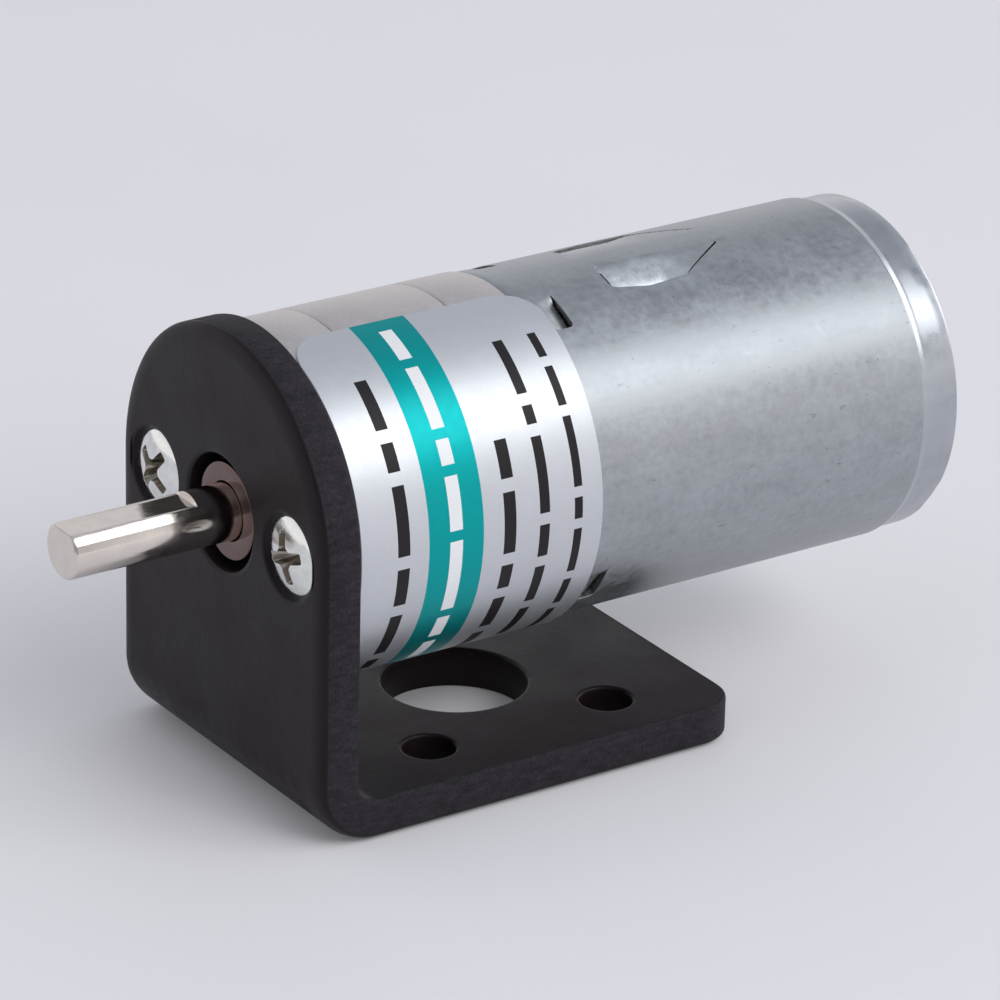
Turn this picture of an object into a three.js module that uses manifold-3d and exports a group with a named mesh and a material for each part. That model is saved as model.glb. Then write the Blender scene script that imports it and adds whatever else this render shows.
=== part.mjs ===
// A small geared DC motor on a bent steel angle bracket: a three-stage spur gearbox, a brushed
// permanent-magnet motor behind it and a D-shaped output shaft in front.
//
// Millimetres, +Z up. The pieces are made in the motor's own frame: the shafts lie on the line x = 0, z = 0,
// with y = 0 on the bracket's front face and +Y towards the back of the motor. The last lines move the whole
// group so that its origin is the bottom centre of its bounding box, on the plane that the bracket stands on.

import * as THREE from "three";
import { mergeVertices } from "three/addons/utils/BufferGeometryUtils.js";
import Module from "manifold-3d";

const wasm = await Module();
wasm.setup();

// ---- Driving dimensions ----------------------------------------------------------------------

const SHAFT_HEIGHT = 20; // shaft axis above the bracket's underside
const FACETS = { large: 36, medium: 24, small: 16, drill: 12 }; // sides of round shapes, by their size
const GAP = 0.05; // between pieces that are pressed, screwed or laid together
const RUNNING = 0.06; // radial play of a shaft in its bush
const PAST = 1; // how far a cutter runs past the face that it cuts

const bracket = {
  width: 26,
  depth: 34.5,
  plate: 3,
  bendInside: 1.5,
  topRadius: 13,
  cornerRadius: 3,
  bossHole: 4.1,
  screwHole: 1.65,
  countersink: 3.15,
  screwRim: 0.3,
  footHole: 1.85,
  footPitchX: 16,
  footPitchY: 14.6,
  footCentreY: 19.1,
  footWindow: 5.1,
};

// Outlines of the screws' heads, as shares of a head's radius and of its height above the rim.
const RAISED = [[0, 1], [0.4, 0.84], [0.7, 0.51], [0.9, 0.19], [1, 0]];
const FLAT = [[0, 0], [1, 0]];
const PAN = [[0, 1], [0.55, 0.93], [0.87, 0.66], [1, 0.3], [1, 0]];

const screws = {
  bracket: {
    pitch: 17,
    shank: 1.5,
    length: 5.2,
    head: 2.78,
    height: 0.68,
    crown: RAISED,
    countersunk: true,
    slot: 3.2,
    slotDepth: 0.9,
  },
  case: {
    shank: 1,
    length: 15,
    head: 1.8,
    height: 0,
    crown: FLAT,
    countersunk: true,
    slot: 2.2,
    slotDepth: 0.5,
  },
  motor: {
    pitch: 16,
    shank: 1.25,
    length: 3.2,
    head: 2.1,
    height: 1.1,
    crown: PAN,
    countersunk: false,
    slot: 2.2,
    slotDepth: 0.6,
  },
};

const gearbox = {
  radius: 12.4,
  wall: 1.5,
  front: bracket.plate + GAP,
  frontWall: 3,
  seamFront: 7.5,
  seamRear: 16.5,
  rear: 21.1,
  rearWall: 2,
  screwCircle: 9.9,
  screwLobe: 1.5,
  screwAngles: [24, 156, 270],
};

const train = {
  module: 0.4,
  pinionTeeth: 9,
  wheelTeeth: 21,
  arborAngles: [60, 120],
  arborRadius: 0.75,
  arborSeat: 1.2, // depth of the blind hole for each end of an arbor
  spacer: 1.3,
};
train.centres = (train.module * (train.pinionTeeth + train.wheelTeeth)) / 2;

const outputShaft = {
  radius: 2,
  flat: 1.5,
  tip: -12.2,
  flatEnd: -2.6,
  inner: 12.1,
  chamfer: 0.3,
  innerChamfer: 0.2,
};
const bush = { radius: 3.45, flange: 4.4, front: 0.5, rear: 6.9, mouth: 0.15, chamfer: 0.15 };
const thrustWasher = { outer: 3.6, from: 7, to: 7.4 };
const retainingClip = { outer: 3.3, from: 11.45, to: 11.85, mouthDegrees: 70 };

const can = {
  radius: 12.25,
  wall: 1,
  front: gearbox.rear + GAP,
  frontEdge: 0.5,
  bodyEnd: 50.1,
  shoulder: 0.4,
  rimRadius: 12,
  rimEnd: 52.9,
  bossRadius: 3.05,
  bossFront: 19.4,
  bossBore: 2.5,
};

// Marks pressed into the can, each from one angle to another.
const marks = {
  depth: 0.55,
  magnetStops: { degrees: [[70, 84], [96, 110]], from: 29.3, to: 37.5 },
  frontStops: { degrees: [[60, 75], [105, 120], [-42, -27], [207, 222]], from: 22.7, to: 24.1 },
  crimps: { degrees: [[47, 61], [137, 151], [227, 241], [317, 331]], from: 51.5, depth: 0.4 },
};

const endCap = {
  face: 51.9,
  skirtFrom: 46.2,
  floor: 50.2,
  skirtWall: 1.2,
  bushBore: 2.6,
  bushSeat: 53.5,
  boss: 3.9,
  bossTip: 3.5,
  bossEnd: 53.9,
  shaftHole: 1.5,
};
const frontBush = { from: 19.7, to: 22.4 };
const rearBush = { from: 50.4, to: 53.4 };

const terminal = {
  height: 7.5,
  width: 2.8,
  thickness: 0.5,
  from: 48.9,
  tip: 55.6,
  eye: 0.5,
  eyeFromTip: 1.3,
};
const brushArm = {
  inner: -1,
  reach: 4.75,
  leaf: 0.25,
  root: 0.2,
  below: 0.35,
  end: -1.6,
  from: 46.4,
  to: 48.8,
};
const brush = { x: 3.84, y: 47.6, width: 1.7, depth: 1.8, height: 2 };

const magnet = { inner: 8.2, outer: 11.15, halfAngle: 66, from: 25, to: 45 };
const springClip = { thickness: 0.4, leg: 1.8, inset: 2, clearanceDegrees: 1.5 };
const core = {
  radius: 7.8,
  hub: 2.8,
  shoe: 6.7,
  neck: 1.3,
  from: 27.5,
  to: 42.5,
  poles: 3,
  slotDegrees: 20,
  shoeRootDegrees: 8,
};
const coil = {
  outerHalf: 2.95,
  endTurns: 2,
  innerGap: 0.15,
  outerCorner: 1.2,
  innerCorner: 0.2,
  from: 3.35,
  to: 5.65,
};
const rotorShaft = { radius: 1, from: 15, to: 53.3 };
const commutator = {
  hub: 2.4,
  bar: 2.9,
  from: 45.2,
  to: 49.6,
  hubEnd: 49.8,
  barGapDegrees: 5,
  barInset: 0.3,
  lug: 4.1,
  lugThickness: 0.4,
  lugDegrees: 14,
};
const varistor = { outer: 4.4, from: 46, to: 46.3 };
const rotorWashers = { outer: 2.1, front: [22.6, 23.1], rear: [49.9, 50.2] };

const label = { inner: 12.47, outer: 12.6, from: 3.2, to: 22.4, lowDegrees: -95, highDegrees: 79.5 };

// ---- Materials -------------------------------------------------------------------------------

const metal = (color, roughness) => new THREE.MeshStandardMaterial({ color, roughness, metalness: 1 });
const matte = (color, roughness) => new THREE.MeshStandardMaterial({ color, roughness, metalness: 0 });

const materials = {
  blackCoat: matte(0x2b282b, 0.5),
  nickel: metal(0xb9b0ab, 0.42),
  zinc: metal(0xa9aeb3, 0.4),
  bright: metal(0xd8dad8, 0.15),
  shaftSteel: metal(0xcfc6bd, 0.14),
  gearSteel: metal(0x9a9a9c, 0.35),
  brass: metal(0xc9a54c, 0.3),
  bronze: metal(0x8a6256, 0.45),
  copper: metal(0xb5622f, 0.35),
  ferrite: matte(0x3a3a3c, 0.8),
  lamination: metal(0x77797d, 0.5),
  springSteel: metal(0x8f9296, 0.3),
  carbon: matte(0x1d1d1f, 0.7),
  tin: metal(0xc7c4b8, 0.3),
  capPlastic: matte(0x1a1a1c, 0.45),
  insulator: matte(0xe9e4d6, 0.6),
  labelFilm: matte(0xd3d6dc, 0.35),
};

// ---- Shape helpers ---------------------------------------------------------------------------

const radians = THREE.MathUtils.degToRad;
const degrees = THREE.MathUtils.radToDeg;

// A point at a radius and an angle from +X towards +Z.
const polar = (radius, angle) =>
  new THREE.Vector2(radius * Math.cos(radians(angle)), radius * Math.sin(radians(angle)));

// Points along an arc, both ends included.
function arc(radius, fromDegrees, toDegrees, steps, centre = new THREE.Vector2()) {
  return Array.from({ length: steps + 1 }, (_, i) =>
    polar(radius, fromDegrees + ((toDegrees - fromDegrees) * i) / steps).add(centre),
  );
}

// A full circle as an open list of points, for a hole or a disc.
const circle = (radius, steps, centre) => arc(radius, 0, 360, steps, centre).slice(0, -1);

// A sector of a ring, with its outer arc and then its inner one.
const sector = (inner, outer, low, high, steps) => [
  ...arc(outer, low, high, steps),
  ...arc(inner, high, low, steps),
];

function outline(points, holes = []) {
  const shape = new THREE.Shape(points);
  holes.forEach((hole) => shape.holes.push(new THREE.Path(hole)));
  return shape;
}

// A solid of revolution about the Y axis, from [radius, y] pairs that run anticlockwise round the section.
function lathe(section, steps = FACETS.large) {
  return new THREE.LatheGeometry(section.map(([r, y]) => new THREE.Vector2(r, y)), steps);
}

// The same for a ring, whose section closes on itself.
const ring = (section, steps) => lathe([...section, section[0]], steps);

// A plain tube or washer between two radii and two places on Y.
const tube = (inner, outer, from, to, steps = FACETS.small) =>
  ring([[inner, from], [outer, from], [outer, to], [inner, to]], steps);

// A plain round bar.
const bar = (radius, from, to, steps = FACETS.small) =>
  lathe([[0, from], [radius, from], [radius, to], [0, to]], steps);

const extruded = (shape, depth, curveSegments = 12) =>
  new THREE.ExtrudeGeometry(shape, { depth, bevelEnabled: false, curveSegments });

// An outline in the XZ plane, extruded along Y.
const alongY = (shape, from, to) => extruded(shape, to - from).rotateX(Math.PI / 2).translate(0, to, 0);

// An outline in the XY plane, extruded along Z.
const alongZ = (shape, from, to) => extruded(shape, to - from).translate(0, 0, from);

// An outline in the YZ plane, extruded along X.
function alongX(shape, from, to) {
  const turn = new THREE.Matrix4().makeBasis(
    new THREE.Vector3(0, 1, 0),
    new THREE.Vector3(0, 0, 1),
    new THREE.Vector3(1, 0, 0),
  );
  return extruded(shape, to - from).applyMatrix4(turn).translate(from, 0, 0);
}

const box = (x, y, z, width, depth, height) => new THREE.BoxGeometry(width, depth, height).translate(x, y, z);

// ---- Booleans --------------------------------------------------------------------------------

const WELD = 1e-4; // corners closer than this are one

function solid(geometry) {
  const bare = geometry.clone();
  bare.deleteAttribute("normal");
  bare.deleteAttribute("uv");
  const merged = mergeVertices(bare, WELD);
  const triVerts = new Uint32Array(merged.index.array);
  return new wasm.Manifold(
    new wasm.Mesh({ numProp: 3, vertProperties: merged.attributes.position.array, triVerts }),
  );
}

function geometryOf(manifold) {
  const mesh = manifold.getMesh();
  const geometry = new THREE.BufferGeometry();
  geometry.setAttribute("position", new THREE.BufferAttribute(mesh.vertProperties, 3));
  geometry.setIndex(new THREE.BufferAttribute(mesh.triVerts, 1));
  geometry.computeVertexNormals();
  return geometry;
}

const cut = (body, ...tools) =>
  geometryOf(tools.map(solid).reduce((left, tool) => left.subtract(tool), solid(body)));
const join = (...bodies) => geometryOf(bodies.map(solid).reduce((all, next) => all.add(next)));
const common = (...bodies) => geometryOf(bodies.map(solid).reduce((all, next) => all.intersect(next)));

// ---- Bracket ---------------------------------------------------------------------------------

// A bent strip with a round top and round back corners, drilled for the gearbox and for four foot screws.
function bracketGeometry() {
  const { width, depth, plate, bendInside, topRadius, cornerRadius } = bracket;
  const half = width / 2;
  const floor = -SHAFT_HEIGHT;
  const bendOutside = bendInside + plate;

  const profile = new THREE.Shape();
  profile.moveTo(0, topRadius);
  profile.lineTo(0, floor + bendOutside);
  profile.absarc(bendOutside, floor + bendOutside, bendOutside, Math.PI, 1.5 * Math.PI, false);
  profile.lineTo(depth, floor);
  profile.lineTo(depth, floor + plate);
  profile.lineTo(bendOutside, floor + plate);
  profile.absarc(bendOutside, floor + bendOutside, bendInside, 1.5 * Math.PI, Math.PI, true);
  profile.lineTo(plate, topRadius);

  const front = outline([
    new THREE.Vector2(-half, floor - PAST),
    new THREE.Vector2(half, floor - PAST),
    ...arc(topRadius, 0, 180, FACETS.medium),
  ]);

  const plan = new THREE.Shape();
  plan.moveTo(-half, -PAST);
  plan.lineTo(half, -PAST);
  plan.lineTo(half, depth - cornerRadius);
  plan.absarc(half - cornerRadius, depth - cornerRadius, cornerRadius, 0, Math.PI / 2, false);
  plan.lineTo(cornerRadius - half, depth);
  plan.absarc(cornerRadius - half, depth - cornerRadius, cornerRadius, Math.PI / 2, Math.PI, false);

  const blank = common(
    alongX(profile, -half, half),
    alongY(front, -PAST, depth + PAST),
    alongZ(plan, floor - PAST, topRadius + PAST),
  );

  const bossHole = bar(bracket.bossHole, -PAST, plate + PAST, FACETS.medium);
  const screwHoles = [-1, 1].map((side) =>
    lathe(
      [
        [0, -PAST],
        [bracket.countersink + PAST, -PAST],
        [bracket.screwHole, bracket.countersink - bracket.screwHole],
        [bracket.screwHole, plate + PAST],
        [0, plate + PAST],
      ],
      FACETS.small,
    ).translate((side * screws.bracket.pitch) / 2, 0, 0),
  );
  const footDrill = (x, y, radius, steps) =>
    new THREE.CylinderGeometry(radius, radius, plate + 2 * PAST, steps)
      .rotateX(Math.PI / 2)
      .translate(x, y, floor + plate / 2);
  const footHoles = [-1, 1].flatMap((x) =>
    [-1, 1].map((y) =>
      footDrill(
        (x * bracket.footPitchX) / 2,
        bracket.footCentreY + (y * bracket.footPitchY) / 2,
        bracket.footHole,
        FACETS.small,
      ),
    ),
  );
  const window = footDrill(0, bracket.footCentreY, bracket.footWindow, FACETS.medium);
  return cut(blank, bossHole, ...screwHoles, ...footHoles, window);
}

// ---- Screws ----------------------------------------------------------------------------------

// A screw along +Y with the rim of its head at y = 0. Behind the rim the head is a cone, or flat, down to the
// shank. Two crossed slots are cut in its crown.
function screwGeometry({ shank, length, head, height, crown, countersunk, slot, slotDepth }) {
  const crownSection = crown.map(([radius, y]) => [head * radius, -height * y]);
  const neck = [shank, countersunk ? head - shank : 0];
  const bladeDepth = 2 * slotDepth;
  const bladeWidth = slot / 4;
  return cut(
    lathe([...crownSection, neck, [shank, length], [0, length]], FACETS.small),
    box(0, -height, 0, slot, bladeDepth, bladeWidth),
    box(0, -height, 0, bladeWidth, bladeDepth, slot),
  );
}

// ---- Gearbox case ----------------------------------------------------------------------------

const sides = [-1, 1];
const lobeCentres = gearbox.screwAngles.map((angle) => polar(gearbox.screwCircle, angle));
const arborCentres = train.arborAngles.map((angle) => polar(train.centres, angle));
const bracketScrewCentres = sides.map((side) => new THREE.Vector2((side * screws.bracket.pitch) / 2, 0));
const motorScrewCentres = sides.map((side) => new THREE.Vector2((side * screws.motor.pitch) / 2, 0));

const barsAt = (centres, radius, from, to) =>
  centres.map((centre) => bar(radius, from, to, FACETS.drill).translate(centre.x, 0, centre.y));
const lobes = (from, to) => barsAt(lobeCentres, gearbox.screwLobe, from, to);
const clearance = (screw) => screw.shank + GAP;

const innerWall = gearbox.radius - gearbox.wall;
const caseInside = { front: gearbox.front + gearbox.frontWall, rear: gearbox.rear - gearbox.rearWall };

function frontPlateGeometry() {
  const { radius, front, seamFront } = gearbox;
  const end = seamFront - GAP / 2;
  const hole = bush.radius + GAP;
  const inside = caseInside.front;
  const cup = ring([
    [hole, front],
    [radius, front],
    [radius, end],
    [innerWall, end],
    [innerWall, inside],
    [hole, inside],
  ]);
  const sinkWidth = screws.case.head + GAP;
  const through = clearance(screws.case);
  const sinks = lobeCentres.map((centre) =>
    lathe(
      [
        [0, front - PAST],
        [sinkWidth + PAST, front - PAST],
        [through, front + sinkWidth - through],
        [through, seamFront + PAST],
        [0, seamFront + PAST],
      ],
      FACETS.small,
    ).translate(centre.x, 0, centre.y),
  );
  return cut(
    join(cup, ...lobes(inside - PAST, end)),
    ...sinks,
    ...barsAt(bracketScrewCentres, clearance(screws.bracket), front - PAST, inside + PAST),
    ...barsAt(arborCentres, train.arborRadius + GAP, inside - train.arborSeat, inside + PAST),
  );
}

function gearRingGeometry() {
  const from = gearbox.seamFront + GAP / 2;
  const to = gearbox.seamRear - GAP / 2;
  return cut(
    join(tube(innerWall, gearbox.radius, from, to, FACETS.large), ...lobes(from, to)),
    ...barsAt(lobeCentres, clearance(screws.case), from - PAST, to + PAST),
  );
}

function rearPlateGeometry() {
  const { radius, seamRear, rear } = gearbox;
  const start = seamRear + GAP / 2;
  const hole = can.bossRadius + GAP;
  const inside = caseInside.rear;
  const cup = ring([
    [hole, inside],
    [innerWall, inside],
    [innerWall, start],
    [radius, start],
    [radius, rear],
    [hole, rear],
  ]);
  return cut(
    join(cup, ...lobes(start, inside + PAST)),
    ...barsAt(lobeCentres, clearance(screws.case), seamRear - PAST, rear - PAST),
    ...barsAt(motorScrewCentres, clearance(screws.motor), inside - PAST, rear + PAST),
    ...barsAt(arborCentres, train.arborRadius + GAP, inside - PAST, inside + train.arborSeat),
  );
}

function outputBushGeometry() {
  const bore = outputShaft.radius + RUNNING;
  const flangeFrom = caseInside.front + GAP;
  return ring(
    [
      [bore + bush.mouth, bush.front],
      [bush.radius - bush.chamfer, bush.front],
      [bush.radius, bush.front + bush.chamfer],
      [bush.radius, flangeFrom],
      [bush.flange, flangeFrom],
      [bush.flange, bush.rear],
      [bore, bush.rear],
      [bore, bush.front + bush.mouth],
    ],
    FACETS.medium,
  );
}

// ---- Gear train ------------------------------------------------------------------------------

const PRESSURE_ANGLE = 25;
const ADDENDUM = 0.8; // stub teeth, so that nine-tooth pinions have no undercut
const DEDENDUM = 1.05;
const TOOTH_THINNING = 0.92; // share of the nominal tooth thickness, which leaves the backlash
const FLANK_POINTS = 3;

const involute = (angle) => Math.tan(angle) - angle;

// The outline of a spur gear with a tooth centred on +X. Each flank is an involute, straight to the root.
function gearOutline(teeth, bore, boreSteps) {
  const pitch = (train.module * teeth) / 2;
  const base = pitch * Math.cos(radians(PRESSURE_ANGLE));
  const tip = pitch + ADDENDUM * train.module;
  const root = pitch - DEDENDUM * train.module;
  const start = Math.max(base, root);
  const halfAtPitch = (TOOTH_THINNING * Math.PI) / (2 * teeth);
  const flank = Array.from({ length: FLANK_POINTS }, (_, i) => {
    const radius = start + ((tip - start) * i) / (FLANK_POINTS - 1);
    const half = halfAtPitch + involute(radians(PRESSURE_ANGLE)) - involute(Math.acos(base / radius));
    return { radius, angle: degrees(half) };
  });
  const foot = { radius: root, angle: flank[0].angle };
  const side = [foot, ...flank];
  const points = [];
  for (let tooth = 0; tooth < teeth; tooth += 1) {
    const middle = (360 * tooth) / teeth;
    side.forEach((p) => points.push(polar(p.radius, middle - p.angle)));
    [...side].reverse().forEach((p) => points.push(polar(p.radius, middle + p.angle)));
  }
  return outline(points, [circle(bore, boreSteps)]);
}

const gear = (teeth, bore, from, to, boreSteps = FACETS.small) =>
  alongY(gearOutline(teeth, bore, boreSteps), from, to);

// Where the second gear's tooth has to point, for a tooth of the first gear pointing at firstPhase, when the
// second gear's axis lies in a given direction from the first's. All in degrees.
function meshingPhase(firstPhase, firstTeeth, direction, secondTeeth) {
  const share = ((direction - firstPhase) * firstTeeth) / 360;
  return direction + 180 - ((0.5 - share) * 360) / secondTeeth;
}

const directionBetween = (a, b) => degrees(Math.atan2(b.y - a.y, b.x - a.x));

const { pinionTeeth, wheelTeeth } = train;
const phases = { motorPinion: 0, firstPinion: 0, secondPinion: 0 };
phases.firstWheel = meshingPhase(phases.motorPinion, pinionTeeth, train.arborAngles[0], wheelTeeth);
phases.secondWheel = meshingPhase(
  phases.firstPinion,
  pinionTeeth,
  directionBetween(arborCentres[0], arborCentres[1]),
  wheelTeeth,
);
phases.outputGear = meshingPhase(phases.secondPinion, pinionTeeth, train.arborAngles[1] + 180, wheelTeeth);

const faces = {
  output: [7.55, 11.35],
  secondPinion: [7.4, 12.2],
  secondWheel: [12.4, 14.6],
  firstPinion: [12.3, 15.5],
  firstWheel: [15.7, 17.8],
  motorPinion: [15.2, 18.4],
};

const arborBore = train.arborRadius + RUNNING;
const wheelSeat = { radius: 1.2, overlap: 0.5, past: 0.1 }; // turned on each pinion, to press its wheel on

// A pinion with teeth over one stretch of Y and, behind them, the round seat for its wheel.
const compoundPinion = (teethSpan, wheelSpan) =>
  join(
    gear(pinionTeeth, arborBore, teethSpan[0], teethSpan[1]),
    tube(arborBore, wheelSeat.radius, teethSpan[1] - wheelSeat.overlap, wheelSpan[1] + wheelSeat.past),
  );
const wheel = (span) => gear(wheelTeeth, wheelSeat.radius + GAP, span[0], span[1]);

function outputShaftGeometry() {
  const { radius, flat, tip, flatEnd, inner, chamfer, innerChamfer } = outputShaft;
  const round = lathe(
    [
      [0, tip],
      [radius - chamfer, tip],
      [radius, tip + chamfer],
      [radius, inner - innerChamfer],
      [radius - innerChamfer, inner],
      [0, inner],
    ],
    FACETS.medium,
  );
  const flatLength = flatEnd - tip + PAST;
  return cut(round, box(0, flatEnd - flatLength / 2, flat + radius / 2, 3 * radius, flatLength, radius));
}

// An open ring that snaps into the shaft's groove, with its mouth below.
function clipGeometry(inner, { outer, from, to, mouthDegrees }) {
  const low = -90 + mouthDegrees / 2;
  const high = 270 - mouthDegrees / 2;
  return alongY(outline(sector(inner, outer, low, high, FACETS.small)), from, to);
}

// ---- Motor case ------------------------------------------------------------------------------

const canInner = can.radius - can.wall;

// Cutters that leave no more than a radius, over some sectors of a ring and one stretch of Y.
function sectorCutters(radius, spans, from, to) {
  const beyond = 3;
  const steps = 6;
  return spans.map(([low, high]) =>
    alongY(outline(sector(radius, radius + beyond, low, high, steps)), from, to),
  );
}

// A deep-drawn cup. Its marks are two long ones that hold the magnets apart, four short stops in front of the
// magnets, and four crimps that keep the end cap in.
function canGeometry() {
  const { radius, wall, front, frontEdge, bodyEnd, shoulder, rimRadius, rimEnd } = can;
  const cup = ring([
    [can.bossBore, can.bossFront],
    [can.bossRadius, can.bossFront],
    [can.bossRadius, front],
    [radius - frontEdge, front],
    [radius, front + frontEdge],
    [radius, bodyEnd],
    [rimRadius, bodyEnd + shoulder],
    [rimRadius, rimEnd],
    [canInner, rimEnd],
    [canInner, front + wall],
    [can.bossBore, front + wall],
  ]);
  const { depth, magnetStops, frontStops, crimps } = marks;
  return cut(
    cup,
    ...sectorCutters(radius - depth, magnetStops.degrees, magnetStops.from, magnetStops.to),
    ...sectorCutters(radius - depth, frontStops.degrees, frontStops.from, frontStops.to),
    ...sectorCutters(rimRadius - crimps.depth, crimps.degrees, crimps.from, rimEnd + PAST),
    ...barsAt(motorScrewCentres, clearance(screws.motor), front - PAST, front + wall + PAST),
  );
}

// A moulded cap with a skirt inside the can, a boss for the rear bush and a slot for each terminal.
function endCapGeometry() {
  const outer = canInner - GAP;
  const skirtInner = outer - endCap.skirtWall;
  const body = ring([
    [endCap.bushBore, endCap.floor],
    [skirtInner, endCap.floor],
    [skirtInner, endCap.skirtFrom],
    [outer, endCap.skirtFrom],
    [outer, endCap.face],
    [endCap.boss, endCap.face],
    [endCap.bossTip, endCap.bossEnd],
    [endCap.shaftHole, endCap.bossEnd],
    [endCap.shaftHole, endCap.bushSeat],
    [endCap.bushBore, endCap.bushSeat],
  ]);
  const middle = (endCap.floor + endCap.face) / 2;
  const length = endCap.face - endCap.floor + 2 * PAST;
  const slot = (z) => box(0, middle, z, terminal.width + 2 * GAP, length, terminal.thickness + 2 * GAP);
  return cut(body, slot(terminal.height), slot(-terminal.height));
}

function magnetGeometry(middle) {
  const { inner, outer, halfAngle, from, to } = magnet;
  const shape = outline(sector(inner, outer, middle - halfAngle, middle + halfAngle, FACETS.drill));
  return alongY(shape, from, to);
}

// A strip of spring steel bowed against the can, with both ends turned in against the magnets.
function springClipGeometry() {
  const { thickness, leg, inset, clearanceDegrees } = springClip;
  const half = 90 - magnet.halfAngle - clearanceDegrees;
  const inner = half - degrees(thickness / magnet.outer);
  return alongY(
    outline([
      ...arc(magnet.outer, 270 - half, 270 + half, FACETS.drill),
      polar(magnet.outer - leg, 270 + half),
      polar(magnet.outer - leg, 270 + inner),
      ...arc(magnet.outer - thickness, 270 + inner, 270 - inner, FACETS.drill),
      polar(magnet.outer - leg, 270 - inner),
      polar(magnet.outer - leg, 270 - half),
    ]),
    magnet.from + inset,
    magnet.to - inset,
  );
}

function terminalGeometry() {
  const { width, thickness, from, tip, eye, eyeFromTip } = terminal;
  const blade = box(0, (from + tip) / 2, 0, width, tip - from, thickness);
  const punch = new THREE.CylinderGeometry(eye, eye, 2 * PAST, FACETS.small).rotateX(Math.PI / 2);
  return cut(blade, punch.translate(0, tip - eyeFromTip, 0));
}

// A leaf that runs from its terminal to the commutator and presses a brush on it.
function brushArmGeometry() {
  const { inner, reach, leaf, root, below, end, from, to } = brushArm;
  const underside = terminal.height - below;
  const shape = outline([
    new THREE.Vector2(inner, underside),
    new THREE.Vector2(reach, underside),
    new THREE.Vector2(reach, end),
    new THREE.Vector2(reach + leaf, end),
    new THREE.Vector2(reach + leaf, underside + root),
    new THREE.Vector2(inner, underside + root),
  ]);
  return alongY(shape, from, to);
}

// ---- Rotor -----------------------------------------------------------------------------------

const poleAngles = Array.from({ length: core.poles }, (_, i) => 90 + (360 * i) / core.poles);
const rotorBore = rotorShaft.radius + GAP;

// Three T-shaped poles round a hub, as one stack of laminations.
function coreGeometry() {
  const { radius, hub, shoe, neck, from, to, poles, slotDegrees, shoeRootDegrees } = core;
  const halfShoe = 180 / poles - slotDegrees / 2;
  const neckAtHub = degrees(Math.asin(neck / hub));
  const neckAtShoe = degrees(Math.asin(neck / shoe));
  const shoeRoot = neckAtShoe + shoeRootDegrees;
  const innerSteps = 4;
  const points = poleAngles.flatMap((middle) => [
    polar(hub, middle - neckAtHub),
    polar(shoe, middle - neckAtShoe),
    ...arc(shoe, middle - shoeRoot, middle - halfShoe, innerSteps),
    ...arc(radius, middle - halfShoe, middle + halfShoe, FACETS.drill),
    ...arc(shoe, middle + halfShoe, middle + shoeRoot, innerSteps),
    polar(shoe, middle + neckAtShoe),
    polar(hub, middle + neckAtHub),
  ]);
  return alongY(outline(points, [circle(rotorBore, FACETS.small)]), from, to);
}

// A rectangle with round corners, centred on the first axis.
function roundedRectangle(half, from, to, corner) {
  const shape = new THREE.Shape();
  shape.moveTo(-half + corner, from);
  shape.lineTo(half - corner, from);
  shape.absarc(half - corner, from + corner, corner, -Math.PI / 2, 0, false);
  shape.lineTo(half, to - corner);
  shape.absarc(half - corner, to - corner, corner, 0, Math.PI / 2, false);
  shape.lineTo(-half + corner, to);
  shape.absarc(-half + corner, to - corner, corner, Math.PI / 2, Math.PI, false);
  shape.lineTo(-half, from + corner);
  shape.absarc(-half + corner, from + corner, corner, Math.PI, 1.5 * Math.PI, false);
  return shape;
}

// A coil round one pole's neck, for a pole that points along +X.
function coilGeometry() {
  const { outerHalf, endTurns, innerGap, outerCorner, innerCorner, from, to } = coil;
  const shape = roundedRectangle(outerHalf, core.from - endTurns, core.to + endTurns, outerCorner);
  const window = { half: core.neck + innerGap, from: core.from - innerGap, to: core.to + innerGap };
  shape.holes.push(roundedRectangle(window.half, window.from, window.to, innerCorner));
  const cornerSteps = 3;
  // The outline lies in tangent and Y, and its depth runs out along the pole.
  const turn = new THREE.Matrix4().makeBasis(
    new THREE.Vector3(0, 0, -1),
    new THREE.Vector3(0, 1, 0),
    new THREE.Vector3(1, 0, 0),
  );
  return extruded(shape, to - from, cornerSteps).applyMatrix4(turn).translate(from, 0, 0);
}

// A copper bar of the commutator with the lug that its coil's wire is welded to, for a bar centred on +X.
function commutatorBarGeometry() {
  const { hub, bar: outer, barGapDegrees, lug, lugThickness, lugDegrees } = commutator;
  const half = 180 / core.poles - barGapDegrees;
  const from = commutator.from + commutator.barInset;
  const root = outer - 0.2; // the lug starts inside the bar, so that the two are one
  const shell = alongY(outline(sector(hub + GAP, outer, -half, half, 10)), from, commutator.to);
  const lugPlate = alongY(outline(sector(root, lug, -lugDegrees, lugDegrees, 3)), from, from + lugThickness);
  return join(shell, lugPlate);
}

// ---- Label -----------------------------------------------------------------------------------

function labelGeometry() {
  const { inner, outer, from, to, lowDegrees, highDegrees } = label;
  return alongY(outline(sector(inner, outer, lowDegrees, highDegrees, FACETS.medium)), from, to);
}

// ---- Assembly --------------------------------------------------------------------------------

const motor = new THREE.Group();

// Adds a named piece. At x and z it is moved off the axis, and turn is its angle about Y, from +X towards +Z.
function add(name, geometry, material, { x = 0, y = 0, z = 0, turn = 0 } = {}) {
  const mesh = new THREE.Mesh(geometry, material);
  mesh.name = name;
  mesh.position.set(x, y, z);
  mesh.rotation.y = -radians(turn);
  motor.add(mesh);
}

const at = (centre, y = 0) => ({ x: centre.x, y, z: centre.y });
const onArbor = (index, turn = 0) => ({ ...at(arborCentres[index]), turn });

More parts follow.
